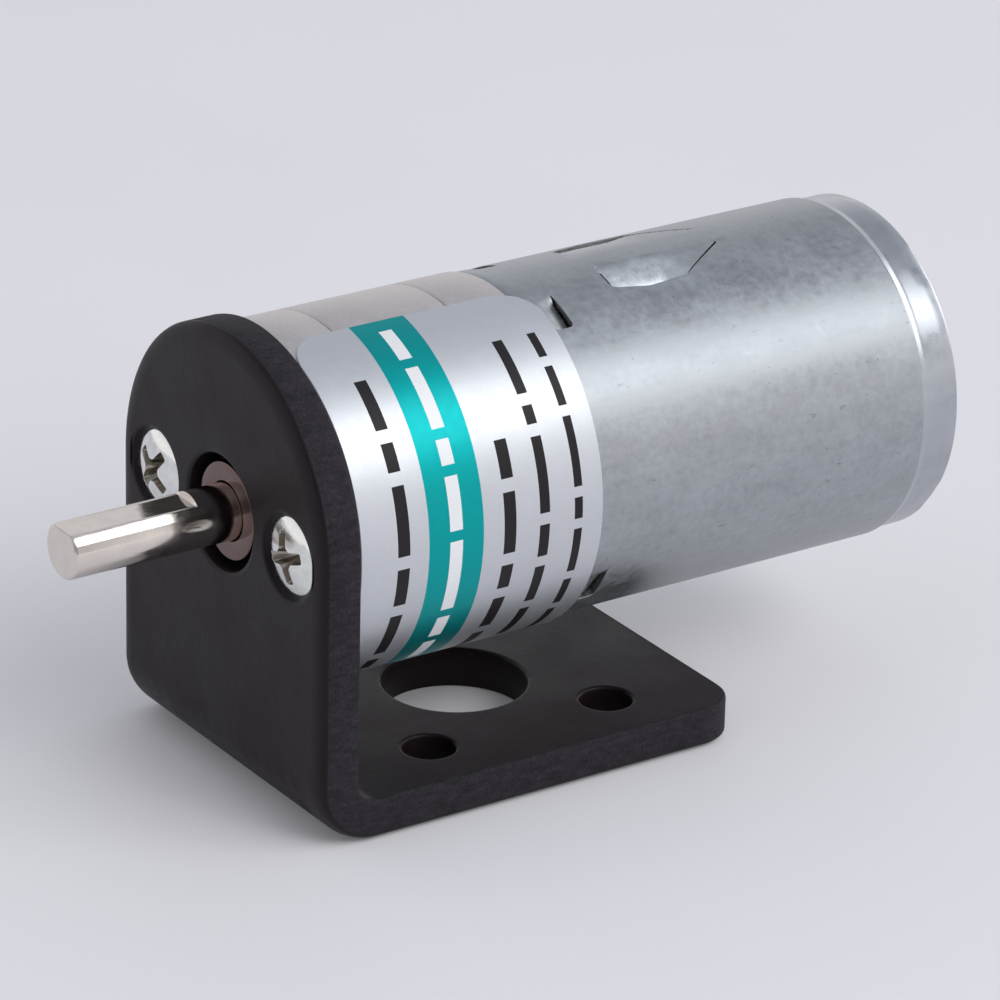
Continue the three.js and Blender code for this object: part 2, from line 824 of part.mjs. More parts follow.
function addBracket() {
  add("mounting_bracket", bracketGeometry(), materials.blackCoat);
  const screw = screwGeometry(screws.bracket);
  ["left", "right"].forEach((side, i) => {
    add(`bracket_screw_${side}`, screw, materials.bright, at(bracketScrewCentres[i], bracket.screwRim));
  });
}

function addGearbox() {
  add("gearbox_front_plate", frontPlateGeometry(), materials.nickel);
  add("gearbox_ring", gearRingGeometry(), materials.nickel);
  add("gearbox_rear_plate", rearPlateGeometry(), materials.nickel);
  add("output_bush", outputBushGeometry(), materials.bronze);
  const screw = screwGeometry(screws.case);
  lobeCentres.forEach((centre, i) => {
    add(`case_screw_${i + 1}`, screw, materials.bright, at(centre, gearbox.front + GAP));
  });
}

// Each arbor stands in the case's two end walls, with a spacer at either end of its cluster.
function addArbors() {
  const play = 0.1; // at each end of a spacer or of an arbor
  const depth = train.arborSeat - play;
  const arbor = bar(train.arborRadius, caseInside.front - depth, caseInside.rear + depth);
  const spacer = (from, to) => tube(arborBore, train.spacer, from + play, to - play);
  const clusters = {
    first: [faces.firstPinion[0], faces.firstWheel[1] + wheelSeat.past],
    second: [faces.secondPinion[0], faces.secondWheel[1] + wheelSeat.past],
  };
  Object.entries(clusters).forEach(([which, [front, rear]], i) => {
    add(`${which}_arbor`, arbor, materials.gearSteel, onArbor(i));
    add(`${which}_arbor_front_spacer`, spacer(caseInside.front, front), materials.brass, onArbor(i));
    add(`${which}_arbor_rear_spacer`, spacer(rear, caseInside.rear), materials.brass, onArbor(i));
  });
}

function addClusters() {
  const firstPinion = compoundPinion(faces.firstPinion, faces.firstWheel);
  const secondPinion = compoundPinion(faces.secondPinion, faces.secondWheel);
  add("first_pinion", firstPinion, materials.gearSteel, onArbor(0, phases.firstPinion));
  add("first_wheel", wheel(faces.firstWheel), materials.brass, onArbor(0, phases.firstWheel));
  add("second_pinion", secondPinion, materials.gearSteel, onArbor(1, phases.secondPinion));
  add("second_wheel", wheel(faces.secondWheel), materials.brass, onArbor(1, phases.secondWheel));
}

function addOutput() {
  const bore = outputShaft.radius + GAP;
  const outputGear = gear(wheelTeeth, bore, ...faces.output, FACETS.medium);
  const { outer, from, to } = thrustWasher;
  add("output_shaft", outputShaftGeometry(), materials.shaftSteel);
  add("output_gear", outputGear, materials.gearSteel, { turn: phases.outputGear });
  add("output_thrust_washer", tube(bore, outer, from, to, FACETS.medium), materials.brass);
  add("output_retaining_clip", clipGeometry(bore, retainingClip), materials.springSteel);
}

function addMotorCase() {
  const bore = rotorShaft.radius + RUNNING;
  add("motor_can", canGeometry(), materials.zinc);
  add("motor_front_bush", tube(bore, can.bossBore - GAP, frontBush.from, frontBush.to), materials.bronze);
  add("motor_end_cap", endCapGeometry(), materials.capPlastic);
  add("motor_rear_bush", tube(bore, endCap.bushBore - GAP, rearBush.from, rearBush.to), materials.bronze);
  add("magnet_right", magnetGeometry(0), materials.ferrite);
  add("magnet_left", magnetGeometry(180), materials.ferrite);
  add("magnet_spring_clip", springClipGeometry(), materials.springSteel);
  const screw = screwGeometry(screws.motor);
  ["left", "right"].forEach((side, i) => {
    add(`motor_screw_${side}`, screw, materials.bright, at(motorScrewCentres[i], caseInside.rear - GAP));
  });
}

// The lower set is the upper one turned half a turn about the shaft.
function addContacts() {
  const block = box(brush.x, brush.y, 0, brush.width, brush.depth, brush.height);
  Object.entries({ upper: 0, lower: 180 }).forEach(([side, turn]) => {
    const height = terminal.height * Math.cos(radians(turn));
    add(`terminal_${side}`, terminalGeometry(), materials.tin, { z: height, turn });
    add(`brush_arm_${side}`, brushArmGeometry(), materials.copper, { turn });
    add(`brush_${side}`, block, materials.carbon, { turn });
  });
}

function addRotor() {
  const halfPitch = 180 / core.poles;
  const washer = ([from, to]) => tube(rotorBore, rotorWashers.outer, from, to);
  const pinion = gear(pinionTeeth, rotorBore, ...faces.motorPinion);
  add("rotor_shaft", bar(rotorShaft.radius, rotorShaft.from, rotorShaft.to), materials.shaftSteel);
  add("motor_pinion", pinion, materials.brass, { turn: phases.motorPinion });
  add("rotor_core", coreGeometry(), materials.lamination);
  poleAngles.forEach((angle, i) => {
    add(`coil_${i + 1}`, coilGeometry(), materials.copper, { turn: angle });
    const between = { turn: angle + halfPitch };
    add(`commutator_bar_${i + 1}`, commutatorBarGeometry(), materials.copper, between);
  });
  const hub = tube(rotorBore, commutator.hub, commutator.from, commutator.hubEnd);
  add("commutator_hub", hub, materials.insulator);
  const varistorRing = tube(commutator.bar + GAP, varistor.outer, varistor.from, varistor.to);
  add("varistor_ring", varistorRing, materials.insulator);
  add("rotor_front_washer", washer(rotorWashers.front), materials.insulator);
  add("rotor_rear_washer", washer(rotorWashers.rear), materials.insulator);
}

addBracket();
addGearbox();
addArbors();
addClusters();
addOutput();
addMotorCase();
addContacts();
addRotor();
add("rating_label", labelGeometry(), materials.labelFilm);

motor.position.set(0, -(outputShaft.tip + terminal.tip) / 2, SHAFT_HEIGHT);

const gearedMotor = new THREE.Group();
gearedMotor.add(motor);

export default gearedMotor;
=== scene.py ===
import math

import bmesh
import bpy
import numpy as np
from mathutils import Matrix, Vector
from mathutils.geometry import delaunay_2d_cdt


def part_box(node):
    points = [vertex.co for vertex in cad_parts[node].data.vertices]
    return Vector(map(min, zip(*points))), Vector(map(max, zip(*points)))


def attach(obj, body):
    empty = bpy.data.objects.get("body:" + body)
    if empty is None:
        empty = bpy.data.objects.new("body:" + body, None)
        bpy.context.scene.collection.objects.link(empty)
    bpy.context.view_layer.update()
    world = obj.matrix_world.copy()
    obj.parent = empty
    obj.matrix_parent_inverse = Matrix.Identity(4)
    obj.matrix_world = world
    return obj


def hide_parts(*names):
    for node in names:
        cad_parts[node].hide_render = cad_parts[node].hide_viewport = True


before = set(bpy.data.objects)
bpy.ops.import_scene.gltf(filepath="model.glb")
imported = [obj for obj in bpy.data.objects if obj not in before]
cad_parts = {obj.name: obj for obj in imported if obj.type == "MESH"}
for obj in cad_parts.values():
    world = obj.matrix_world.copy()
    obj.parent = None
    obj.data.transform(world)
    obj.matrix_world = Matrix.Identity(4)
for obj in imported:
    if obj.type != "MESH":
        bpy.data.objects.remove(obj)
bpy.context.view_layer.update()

# A geared DC motor on an angle bracket. The outer pieces are made here at full detail, and the pieces inside
# keep their CAD shape. Shapes are in millimetres in the motor's own frame: the shafts lie on x = 0, z = 0,
# y = 0 is the bracket's front face and +Y runs to the back of the motor.

MM = 0.001
X, Y, Z = range(3)


def cad_low(node, axis):
    return (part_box(node)[0] - ORIGIN)[axis] / MM


def cad_high(node, axis):
    return (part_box(node)[1] - ORIGIN)[axis] / MM


CAN_LOW, CAN_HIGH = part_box("motor_can")
ORIGIN = Vector((0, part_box("mounting_bracket")[0].y, (CAN_LOW.z + CAN_HIGH.z) / 2))

# ---- Driving sizes ----

PLATE = 3.0  # thickness of the bracket
BEND_INSIDE = 1.5
HALF_WIDTH = cad_high("mounting_bracket", X)
TOP = cad_high("mounting_bracket", Z)
FLOOR = cad_low("mounting_bracket", Z)
DEPTH = cad_high("mounting_bracket", Y)
FOOT_CORNER = 3.0
SCREW_X = 8.5
FOOT_HOLE_X = 8.0
FOOT_HOLE_PITCH = 14.6
FOOT_CENTRE_Y = 19.1
BOSS_HOLE, SCREW_HOLE, FOOT_WINDOW, FOOT_HOLE = 4.1, 1.65, 5.1, 1.85  # radii

GEARBOX_RADIUS = cad_high("gearbox_ring", X)
CAN_RADIUS = cad_high("motor_can", X)
CAN_FRONT = cad_high("gearbox_rear_plate", Y) + 0.05
BODY_END = 50.1
RIM_RADIUS = 12.0
RIM_END = cad_high("motor_can", Y)
CAN_INNER = 11.25

# ---- Points and outlines ----


def unit(degrees):
    return math.cos(math.radians(degrees)), math.sin(math.radians(degrees))


def arc(radius, start, end, steps, centre=(0, 0)):
    """Points along an arc from one angle to another, in degrees, both ends included."""
    turns = [unit(start + (end - start) * i / steps) for i in range(steps + 1)]
    return [(centre[0] + radius * c, centre[1] + radius * s) for c, s in turns]


def circle(radius, steps, centre=(0, 0)):
    return arc(radius, 0, 360, steps, centre)[:-1]


def divided(points, pitch, closed=True):
    """The same outline with its long sides cut into steps of about pitch."""
    made = []
    sides = list(zip(points, points[1:] + points[:1] if closed else points[1:]))
    for p, q in sides:
        parts = max(1, round(math.dist(p, q) / pitch))
        made += [tuple(a + (b - a) * i / parts for a, b in zip(p, q)) for i in range(parts)]
    return made if closed else made + [points[-1]]


def rounded(corners, steps=4):
    """A closed polygon of (a, b, radius) corners, with each corner turned into an arc."""
    points = []
    for i, (a, b, radius) in enumerate(corners):
        here = Vector((a, b))
        back = Vector(corners[i - 1][:2]) - here
        on = Vector(corners[(i + 1) % len(corners)][:2]) - here
        if radius == 0:
            points.append((a, b))
            continue
        half = back.angle(on) / 2
        reach = min(radius / math.tan(half), 0.49 * back.length, 0.49 * on.length)
        centre = here + (back.normalized() + on.normalized()).normalized() * (reach / math.cos(half))
        start = here + back.normalized() * reach - centre
        sweep = start.angle_signed(here + on.normalized() * reach - centre)
        for k in range(steps + 1):
            c, s = math.cos(-sweep * k / steps), math.sin(-sweep * k / steps)
            points.append((centre.x + start.x * c - start.y * s, centre.y + start.x * s + start.y * c))
    return points


def smooth_step(value):
    t = min(1.0, max(0.0, value))
    return t * t * (3 - 2 * t)


# ---- Surfaces ----


class Shell:
    """Vertices and faces in millimetres, gathered patch by patch and welded at the end."""

    def __init__(self):
        self.verts, self.faces, self.slots, self.wear = [], [], [], []

    def add(self, verts, faces, slot=0, wear=None):
        start = len(self.verts)
        self.verts += [tuple(v) for v in verts]
        self.faces += [tuple(start + i for i in face) for face in faces]
        self.slots += [slot] * len(faces)
        self.wear += list(wear) if wear else [0.0] * len(verts)

    def rings(self, rings, loop=False, wear=None):
        """The surface through rings of points. A ring of one point is a pole."""
        verts, rows = [], []
        for ring in rings:
            rows.append(range(len(verts), len(verts) + len(ring)))
            verts += ring
        faces = []
        for a, b in zip(rows, list(rows[1:]) + ([rows[0]] if loop else [])):
            n = max(len(a), len(b))
            for i in range(n):
                j = (i + 1) % n
                quad = [a[i % len(a)], a[j % len(a)], b[j % len(b)], b[i % len(b)]]
                faces.append(tuple(dict.fromkeys(quad)))
        marks = [w for ring, w in zip(rings, wear) for _ in ring] if wear else None
        self.add(verts, faces, wear=marks)

    def turned(self, profile, steps=96, loop=True, centre=(0, 0), warp=None, start=0.0):
        """A surface of revolution along Y, from (radius, y) pairs, about a centre in x and z."""
        made = []
        for r, y in profile:
            ring = []
            for i in range(steps if r > 1e-6 else 1):
                angle = start + 360 * i / steps
                reach = warp(angle, r, y) if warp else r
                c, s = unit(angle)
                ring.append((centre[0] + reach * c, y, centre[1] + reach * s))
            made.append(ring)
        self.rings(made, loop)

    def filled(self, loops, place, pitch, slot_at=None, extra=(), marks=()):
        """The flat region between closed loops, in triangles no larger than about pitch, put in place."""
        points, triangles = triangulate(loops, pitch, extra, marks)
        self.add([place(*p) for p in points], triangles)
        if slot_at:
            middles = [[sum(points[i][k] for i in t) / 3 for k in (0, 1)] for t in triangles]
            self.slots[-len(triangles) :] = [slot_at(*middle) for middle in middles]


def inside(points, loops):
    """For each point, whether it is inside an odd number of the loops."""
    odd = np.zeros(len(points), bool)
    for loop in loops:
        a = np.array(loop)
        b = np.roll(a, -1, axis=0)
        px, py = points[:, :1], points[:, 1:]
        crosses = (a[:, 1] > py) != (b[:, 1] > py)
        rise = np.where(b[:, 1] == a[:, 1], 1e-12, b[:, 1] - a[:, 1])
        at = a[:, 0] + (py - a[:, 1]) * (b[:, 0] - a[:, 0]) / rise
        odd ^= (crosses & (px < at)).sum(axis=1) % 2 == 1
    return odd


def triangulate(loops, pitch, extra=(), marks=()):
    """Points and triangles of the region between loops, with edges along the marks, which are loops as well.
    pitch is the (a, b) spacing of the points inside it, and extra gives more of them."""
    outline = np.array([p for loop in [*loops, *marks] for p in loop])
    low, high = outline.min(0), outline.max(0)
    across, along = (np.arange(low[k] + pitch[k] / 2, high[k], pitch[k]) for k in (0, 1))
    grid = np.array([(a, b) for a in across for b in along] + list(extra)).reshape(-1, 2)
    clear = min(pitch) * 0.45  # the least distance from a point inside to the outline
    if len(grid):
        grid = grid[inside(grid, loops)]
        gaps = [np.min(np.hypot(*(outline - p).T)) for p in grid]
        grid = grid[np.array(gaps) > clear] if len(grid) else grid
    points = [Vector(p) for part in (outline, grid) for p in part]
    edges, start = [], 0
    for loop in [*loops, *marks]:
        edges += [(start + i, start + (i + 1) % len(loop)) for i in range(len(loop))]
        start += len(loop)
    made = delaunay_2d_cdt(points, edges, [], 0, 1e-7)
    flat = np.array([tuple(p) for p in made[0]])
    corners = np.array(made[2])
    keep = inside(flat[corners].mean(axis=1), loops)
    return [tuple(p) for p in flat], [tuple(int(i) for i in t) for t in corners[keep]]


WELD = 0.0005  # millimetres between points that are taken as one


def shell_mesh(name, shell):
    """A mesh from a shell, welded and with its faces turned outwards."""
    mesh = bpy.data.meshes.new(name)
    mesh.from_pydata([ORIGIN + Vector(v) * MM for v in shell.verts], [], shell.faces)
    mesh.polygons.foreach_set("material_index", shell.slots)
    mesh.attributes.new("wear", "FLOAT", "POINT").data.foreach_set("value", shell.wear)
    bm = bmesh.new()
    bm.from_mesh(mesh)
    bmesh.ops.remove_doubles(bm, verts=bm.verts, dist=WELD * MM)
    bmesh.ops.dissolve_degenerate(bm, edges=bm.edges, dist=WELD * MM)
    bmesh.ops.recalc_face_normals(bm, faces=bm.faces)
    bm.to_mesh(mesh)
    bm.free()
    return mesh


def linked(name, data):
    """A new object in the scene."""
    made = bpy.data.objects.new(name, data)
    bpy.context.scene.collection.objects.link(made)
    return made


def make_piece(name, shape, materials, replaces, body="frame", sharp=32):
    """A piece from a shell or a mesh, shaded smooth up to an angle. materials are keys of MATERIALS."""
    mesh = shell_mesh(name, shape) if isinstance(shape, Shell) else shape
    mesh.name = name
    piece = linked(name, mesh)
    for key in materials:
        mesh.materials.append(MATERIALS[key])
    mesh.polygons.foreach_set("use_smooth", [True] * len(mesh.polygons))
    mesh.set_sharp_from_angle(angle=math.radians(sharp))
    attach(piece, body)
    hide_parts(*replaces)
    return piece


def carved(shell, joins=(), cuts=(), soften=0.0):
    """The mesh of a shell with others joined to it and cut from it, and its edges softened."""
    main = linked("tool", shell_mesh("tool", shell))
    tools = []
    for operation, shells in (("UNION", joins), ("DIFFERENCE", cuts)):
        for other in shells:
            tools.append(linked("tool", shell_mesh("tool", other)))
            step = main.modifiers.new("boolean", "BOOLEAN")
            step.operation = operation
            step.solver = "EXACT"
            step.object = tools[-1]
    if soften:
        bevel = main.modifiers.new("bevel", "BEVEL")
        bevel.width, bevel.segments = soften * MM, 2
        bevel.limit_method, bevel.angle_limit = "ANGLE", math.radians(28)
    graph = bpy.context.evaluated_depsgraph_get()
    mesh = bpy.data.meshes.new_from_object(main.evaluated_get(graph))
    mesh.materials.clear()
    for tool in [main, *tools]:
        old = tool.data
        bpy.data.objects.remove(tool)
        bpy.data.meshes.remove(old)
    return mesh


def block(low, high):
    """A box shell between two corners."""
    shell = Shell()
    signs = ((0, 0), (1, 0), (1, 1), (0, 1))
    ends = [[((low, high)[i][X], y, (low, high)[k][Z]) for i, k in signs] for y in (low[Y], high[Y])]
    shell.rings(ends)
    shell.add(ends[0], [(3, 2, 1, 0)])
    shell.add(ends[1], [(0, 1, 2, 3)])
    return shell


def turned_shell(profile, **settings):
    shell = Shell()
    shell.turned(profile, **settings)
    return shell


# ---- Materials ----


class Finish:
    """A Principled material built from nodes. Its textures are placed in millimetres on the piece."""

    def __init__(self, name, color, metallic, roughness, **sockets):
        self.material = bpy.data.materials.new(name)
        self.material.use_nodes = True
        self.tree = self.material.node_tree
        self.shader = self.tree.nodes["Principled BSDF"]
        self.color = (*color, 1)
        self.roughness = roughness
        uniform = {"Base_Color": self.color, "Metallic": metallic, "Roughness": roughness, **sockets}
        for socket, value in uniform.items():
            self.shader.inputs[socket.replace("_", " ")].default_value = value
        place = self.node("ShaderNodeTexCoord").outputs["Object"]
        scaled = self.node("ShaderNodeVectorMath", {"Vector": place, "Scale": 1 / MM}, operation="SCALE")
        self.place = scaled.outputs["Vector"]
        self.height = None

    def feed(self, target, value):
        if isinstance(value, bpy.types.NodeSocket):
            self.tree.links.new(value, target)
        else:
            target.default_value = value

    def node(self, kind, inputs=None, **settings):
        made = self.tree.nodes.new(kind)
        for key, value in settings.items():
            setattr(made, key, value)
        for key, value in (inputs or {}).items():
            self.feed(made.inputs[key], value)
        return made

    def math(self, operation, a, b):
        return self.node("ShaderNodeMath", {0: a, 1: b}, operation=operation).outputs[0]

    def remap(self, value, low, high, to_low, to_high):
        inputs = {"Value": value, "From Min": low, "From Max": high, "To Min": to_low, "To Max": to_high}
        return self.node("ShaderNodeMapRange", inputs).outputs["Result"]

    def noise(self, size, stretch=(1, 1, 1), detail=3.0, roughness=0.55):
        """Noise of about one blob per size millimetres, drawn out along each axis by stretch."""
        scale = tuple(1 / (size * s) for s in stretch)
        placed = self.node("ShaderNodeVectorMath", {0: self.place, 1: scale}, operation="MULTIPLY")
        inputs = {"Vector": placed.outputs["Vector"], "Scale": 1.0, "Detail": detail, "Roughness": roughness}
        return self.node("ShaderNodeTexNoise", inputs).outputs["Fac"]

    def wear(self):
        return self.node("ShaderNodeAttribute", attribute_name="wear").outputs["Fac"]

    def mix(self, other, factor=1.0, blend="MIX"):
        """Mixes another colour, or a colour socket, into the colour so far, by a factor from 0 to 1."""
        made = self.node("ShaderNodeMix", data_type="RGBA", blend_type=blend)
        ends = {s.identifier: s for s in made.inputs}
        for key, value in (("Factor_Float", factor), ("A_Color", self.color), ("B_Color", other)):
            self.feed(ends[key], value)
        self.color = next(s for s in made.outputs if s.identifier == "Result_Color")

    def shade(self, value, low, high):
        """Multiplies the colour so far by a value that runs from low to high."""
        factor = self.remap(value, 0.3, 0.7, low, high)
        grey = self.node("ShaderNodeCombineColor", {0: factor, 1: factor, 2: factor}).outputs["Color"]
        self.mix(grey, blend="MULTIPLY")

    def roughen(self, value, spread):
        """Varies the roughness by plus or minus spread with a value near 0.5."""
        change = self.remap(value, 0.3, 0.7, -spread, spread)
        self.roughness = self.math("ADD", change, self.roughness)

    def relief(self, value, depth):
        """Adds bumps that are depth millimetres high."""
        inputs = {"Height": value, "Distance": depth * MM, "Strength": 1.0}
        if self.height:
            inputs["Normal"] = self.height
        self.height = self.node("ShaderNodeBump", inputs).outputs["Normal"]

    def layer(self, value, shade=None, rough=0.0, relief=0.0):
        """Lets one texture do several things."""
        if shade:
            self.shade(value, *shade)
        if rough:
            self.roughen(value, rough)
        if relief:
            self.relief(value, relief)

    def done(self):
        self.feed(self.shader.inputs["Base Color"], self.color)
        self.feed(self.shader.inputs["Roughness"], self.roughness)
        if self.height:
            self.tree.links.new(self.height, self.shader.inputs["Normal"])
        return self.material


def finish(name, color, metallic, roughness, *layers, **sockets):
    """A material of noise layers, made by texture."""
    f = Finish(name, color, metallic, roughness, **sockets)
    for settings, effects in layers:
        f.layer(f.noise(**settings), **effects)
    return f.done()


def texture(size, detail=3, stretch=1, **effects):
    """One layer of finish. stretch draws it out into lines round the motor's axis."""
    return {"size": size, "detail": detail, "stretch": (stretch, 1, stretch)}, effects


def black_coat():
    """Fine-grained black coating, lighter along the edges of the strip: partly worn coating, partly painted
    highlight.
    """
    f = Finish("black_coat", (0.0085, 0.0042, 0.0062), 0.0, 0.46, Specular_IOR_Level=0.22)
    grain = f.noise(0.16)
    cloud = f.noise(4.0)
    f.layer(cloud, (0.8, 1.2), 0.05)
    f.layer(grain, (0.75, 1.28), 0.0, 0.012)
    # painted highlight: lighter grey along the back edge, partly rubbed coating, partly the burr's bright line
    rub_and_highlight = f.math("MULTIPLY", f.wear(), f.remap(f.noise(0.5), 0.4, 0.62, 0.0, 1.0))
    f.mix((0.08, 0.075, 0.08, 1), f.math("MULTIPLY", rub_and_highlight, 0.4))
    f.mix((0.05, 0.045, 0.05, 1), f.remap(f.noise(0.7, detail=1), 0.74, 0.82, 0.0, 0.3))
    f.relief(f.noise(0.9, detail=1), 0.010)
    return f.done()


def coated_edge():
    """The strip's sheared edge, with fine marks across its thickness."""
    f = Finish("black_coat_sheared", (0.0215, 0.0190, 0.0240), 0.0, 0.68, Specular_IOR_Level=0.14)
    f.layer(f.noise(0.45, (1, 2.6, 1), 4, 0.65), (0.6, 1.5), 0.06, 0.05)
    f.layer(f.noise(0.2, detail=4, roughness=0.6), (0.7, 1.35), 0.0, 0.07)
    return f.done()


def zinc_can():
    """Mottled zinc plating with small dark marks, lighter where pressed in: partly burnish, partly painted
    highlight.
    """
    f = Finish("zinc_can", (0.39, 0.41, 0.43), 1.0, 0.44)
    mottle = f.noise(0.6, detail=4, roughness=0.65)
    cloud = f.noise(2.4, stretch=(1, 1.6, 1), detail=4)
    drawn = f.noise(0.35, stretch=(1, 14, 1))
    pressed = f.wear()
    # painted highlight: pressed-in metal mixed towards a lighter zinc, partly real burnish, partly painted
    # sheen
    f.mix((0.66, 0.69, 0.71, 1), f.math("MULTIPLY", pressed, 0.8))
    f.layer(mottle, (0.88, 1.10), 0.07, 0.003)
    f.layer(cloud, (0.92, 1.08), 0.05, 0.006)
    f.layer(drawn, (0.98, 1.02), 0.0, 0.0012)
    scuffs = f.noise(0.8, stretch=(0.5, 1.7, 0.7), roughness=0.6)
    f.mix((0.17, 0.18, 0.19, 1), f.remap(scuffs, 0.68, 0.74, 0.0, 0.45))
    f.mix((0.10, 0.10, 0.11, 1), f.remap(f.noise(0.45, detail=1), 0.77, 0.81, 0.0, 0.6))
    f.roughness = f.math("SUBTRACT", f.roughness, f.math("MULTIPLY", pressed, 0.14))
    return f.done()


def bright_plate(name, color):
    """Bright plating on small turned parts."""
    return finish(name, color, 1.0, 0.14, texture(0.5, shade=(0.90, 1.05), rough=0.07, relief=0.006))


def film(name, color, metallic, roughness, coat=0.1, shine=0.5):
    """Printed label film, nearly smooth, over a faintly uneven case."""
    grain, cloud = texture(0.12, 2, shade=(0.97, 1.03)), texture(6.0, 2, shade=(0.98, 1.02))
    layers = [grain, cloud, texture(0.6, rough=0.03), texture(2.5, 2, relief=0.010)]
    sockets = {"Coat_Weight": coat, "Coat_Roughness": 0.22, "Specular_IOR_Level": shine}
    return finish(name, color, metallic, roughness, *layers, **sockets)


def moulded_plastic(name, color, roughness):
    """Moulded plastic with a fine spark-eroded texture."""
    cloud, grain = texture(2.5, 2, shade=(0.88, 1.12)), texture(0.12, 2, rough=0.06, relief=0.008)
    return finish(name, color, 0.0, roughness, cloud, grain)


def machined(name, color, roughness):
    """Cut or turned metal with tool marks round the shaft's axis."""
    cloud = texture(1.0, shade=(0.88, 1.08), rough=0.07)
    return finish(name, color, 1.0, roughness, cloud, texture(0.12, stretch=30, relief=0.003))


def wound_copper():
    """Enamelled wire laid side by side."""
    f = Finish("wound_copper", (0.56, 0.21, 0.09), 0.95, 0.30, Coat_Weight=0.4, Coat_Roughness=0.2)
    wires = f.node("ShaderNodeTexWave", {"Vector": f.place, "Scale": 1.2, "Distortion": 0.6, "Detail": 1.0})
    f.layer(wires.outputs["Fac"], (0.72, 1.1), 0.0, 0.05)
    f.roughen(f.noise(0.6), 0.06)
    return f.done()


MATERIALS = {
    "coat": black_coat(),
    "edge": coated_edge(),
    "nickel": finish(
        "satin_nickel", (0.62, 0.59, 0.58), 1.0, 0.52,
        texture(2.2, 4, shade=(0.93, 1.05), rough=0.06), texture(0.3, shade=(0.95, 1.04)),
        texture(0.10, 2, stretch=60, relief=0.0012), texture(0.22, relief=0.003),
    ),
    "can": zinc_can(),
    "rim": finish(
        "zinc_burnished", (0.43, 0.45, 0.48), 1.0, 0.31,
        texture(1.6, shade=(0.92, 1.06), rough=0.07), texture(0.12, 2, stretch=40, relief=0.0015),
    ),
    # cut walls of the pressed marks: partly bare sheared metal, partly painted shade in the slits
    "cut_zinc_and_shade": finish(
        "zinc_sheared_and_shaded", (0.17, 0.165, 0.16), 1.0, 0.5, texture(0.25, shade=(0.6, 1.3), rough=0.1, relief=0.02)
    ),
    "shaft": finish(
        "polished_shaft", (0.72, 0.66, 0.61), 1.0, 0.13,
        texture(1.2, shade=(0.95, 1.04)), texture(0.8, 4, rough=0.05),
        texture(0.05, 2, stretch=80, relief=0.0006),
    ),
    "screw": bright_plate("bright_screw", (0.78, 0.79, 0.77)),
    # painted shade: the cross recess is the head's plating, darkened
    "recess": bright_plate("screw_recess_shade", (0.36, 0.33, 0.29)),
    "tin": bright_plate("tin_plate", (0.62, 0.60, 0.54)),
    "bronze": finish(
        "sintered_bronze", (0.165, 0.112, 0.103), 1.0, 0.12,
        texture(0.10, shade=(0.78, 1.12), rough=0.04, relief=0.0015),
    ),
    "silver": film("label_silver", (0.62, 0.64, 0.67), 0.9, 0.45),
    "teal": film("label_teal", (0.0, 0.37, 0.375), 0.9, 0.42),
    "ink": film("label_ink", (0.010, 0.008, 0.009), 0.0, 0.42, coat=0.0, shine=0.25),
    "white": film("label_white", (0.80, 0.82, 0.83), 0.1, 0.42),
    "cap": moulded_plastic("cap_plastic", (0.022, 0.022, 0.024), 0.45),
    "insulator": moulded_plastic("insulator", (0.78, 0.72, 0.62), 0.55),
    "carbon": moulded_plastic("carbon", (0.02, 0.02, 0.02), 0.65),
    "gear_steel": machined("gear_steel", (0.40, 0.40, 0.41), 0.32),
    "gear_brass": machined("gear_brass", (0.60, 0.40, 0.14), 0.28),
    "spring": machined("spring_steel", (0.33, 0.34, 0.36), 0.26),
    "ferrite": finish(
        "fired_ferrite", (0.045, 0.045, 0.048), 0.0, 0.72,
        texture(0.2, 4, shade=(0.7, 1.3), rough=0.08, relief=0.02),
    ),
    "lamination": finish(
        "laminations", (0.24, 0.25, 0.27), 0.9, 0.45,
        texture(0.35, 1, stretch=60, shade=(0.7, 1.15), relief=0.03), texture(0.8, rough=0.08),
    ),
    "copper": wound_copper(),
    "arm": machined("brush_copper", (0.58, 0.25, 0.12), 0.30),
}

# ---- Bracket ----

BEND_OUTSIDE = BEND_INSIDE + PLATE
BEND_NEUTRAL = BEND_INSIDE + PLATE / 2
BEND_START = TOP - FLOOR - PLATE - BEND_INSIDE  # length of the upright above the bend
BEND_LENGTH = BEND_NEUTRAL * math.pi / 2
FOOT_START = BEND_START + BEND_LENGTH
STRIP_LENGTH = FOOT_START + DEPTH - PLATE - BEND_INSIDE


def bent(across, along, depth):
    """From the flat strip to the bent bracket. along runs from its top, depth from its outer face."""
    if along < BEND_START:
        return (across, depth, TOP - along)
    turn = (along - BEND_START) / BEND_NEUTRAL
    if turn < math.pi / 2:
        reach = BEND_OUTSIDE - depth
        y, z = BEND_OUTSIDE - reach * math.cos(turn), BEND_OUTSIDE - reach * math.sin(turn)
        return (across, y, FLOOR + z)
    return (across, BEND_OUTSIDE + along - FOOT_START, FLOOR + depth)


def strip_outline(inset):
    """The flat strip's outline, moved in by inset, with the same number of points for every inset."""
    half = HALF_WIDTH - inset
    corner = FOOT_CORNER - inset
    end = STRIP_LENGTH - FOOT_CORNER
    inner = HALF_WIDTH - FOOT_CORNER
    stops = [HALF_WIDTH + (BEND_START - HALF_WIDTH) * i / 12 for i in range(12)]
    stops += [BEND_START + BEND_LENGTH * i / BEND_STEPS for i in range(BEND_STEPS)]
    stops += [FOOT_START + (end - FOOT_START) * i / 18 for i in range(18)]
    right = [(half, along) for along in stops]
    foot = arc(corner, 0, 90, 10, (inner, end)) + arc(corner, 90, 180, 10, (-inner, end))
    left = [(-half, along) for along in reversed(stops)]
    top = arc(half, 180, 360, 72, (0, HALF_WIDTH))[1:-1]
    return right + divided(foot, 1.5, closed=False) + left + top


BEND_STEPS = 16
ROLL = (1.3, 0.5)  # how far the rolled front edge reaches in, and how deep it falls
BURR = 0.22  # rounding of the sheared edge at the back
EDGE_SLOT = 1


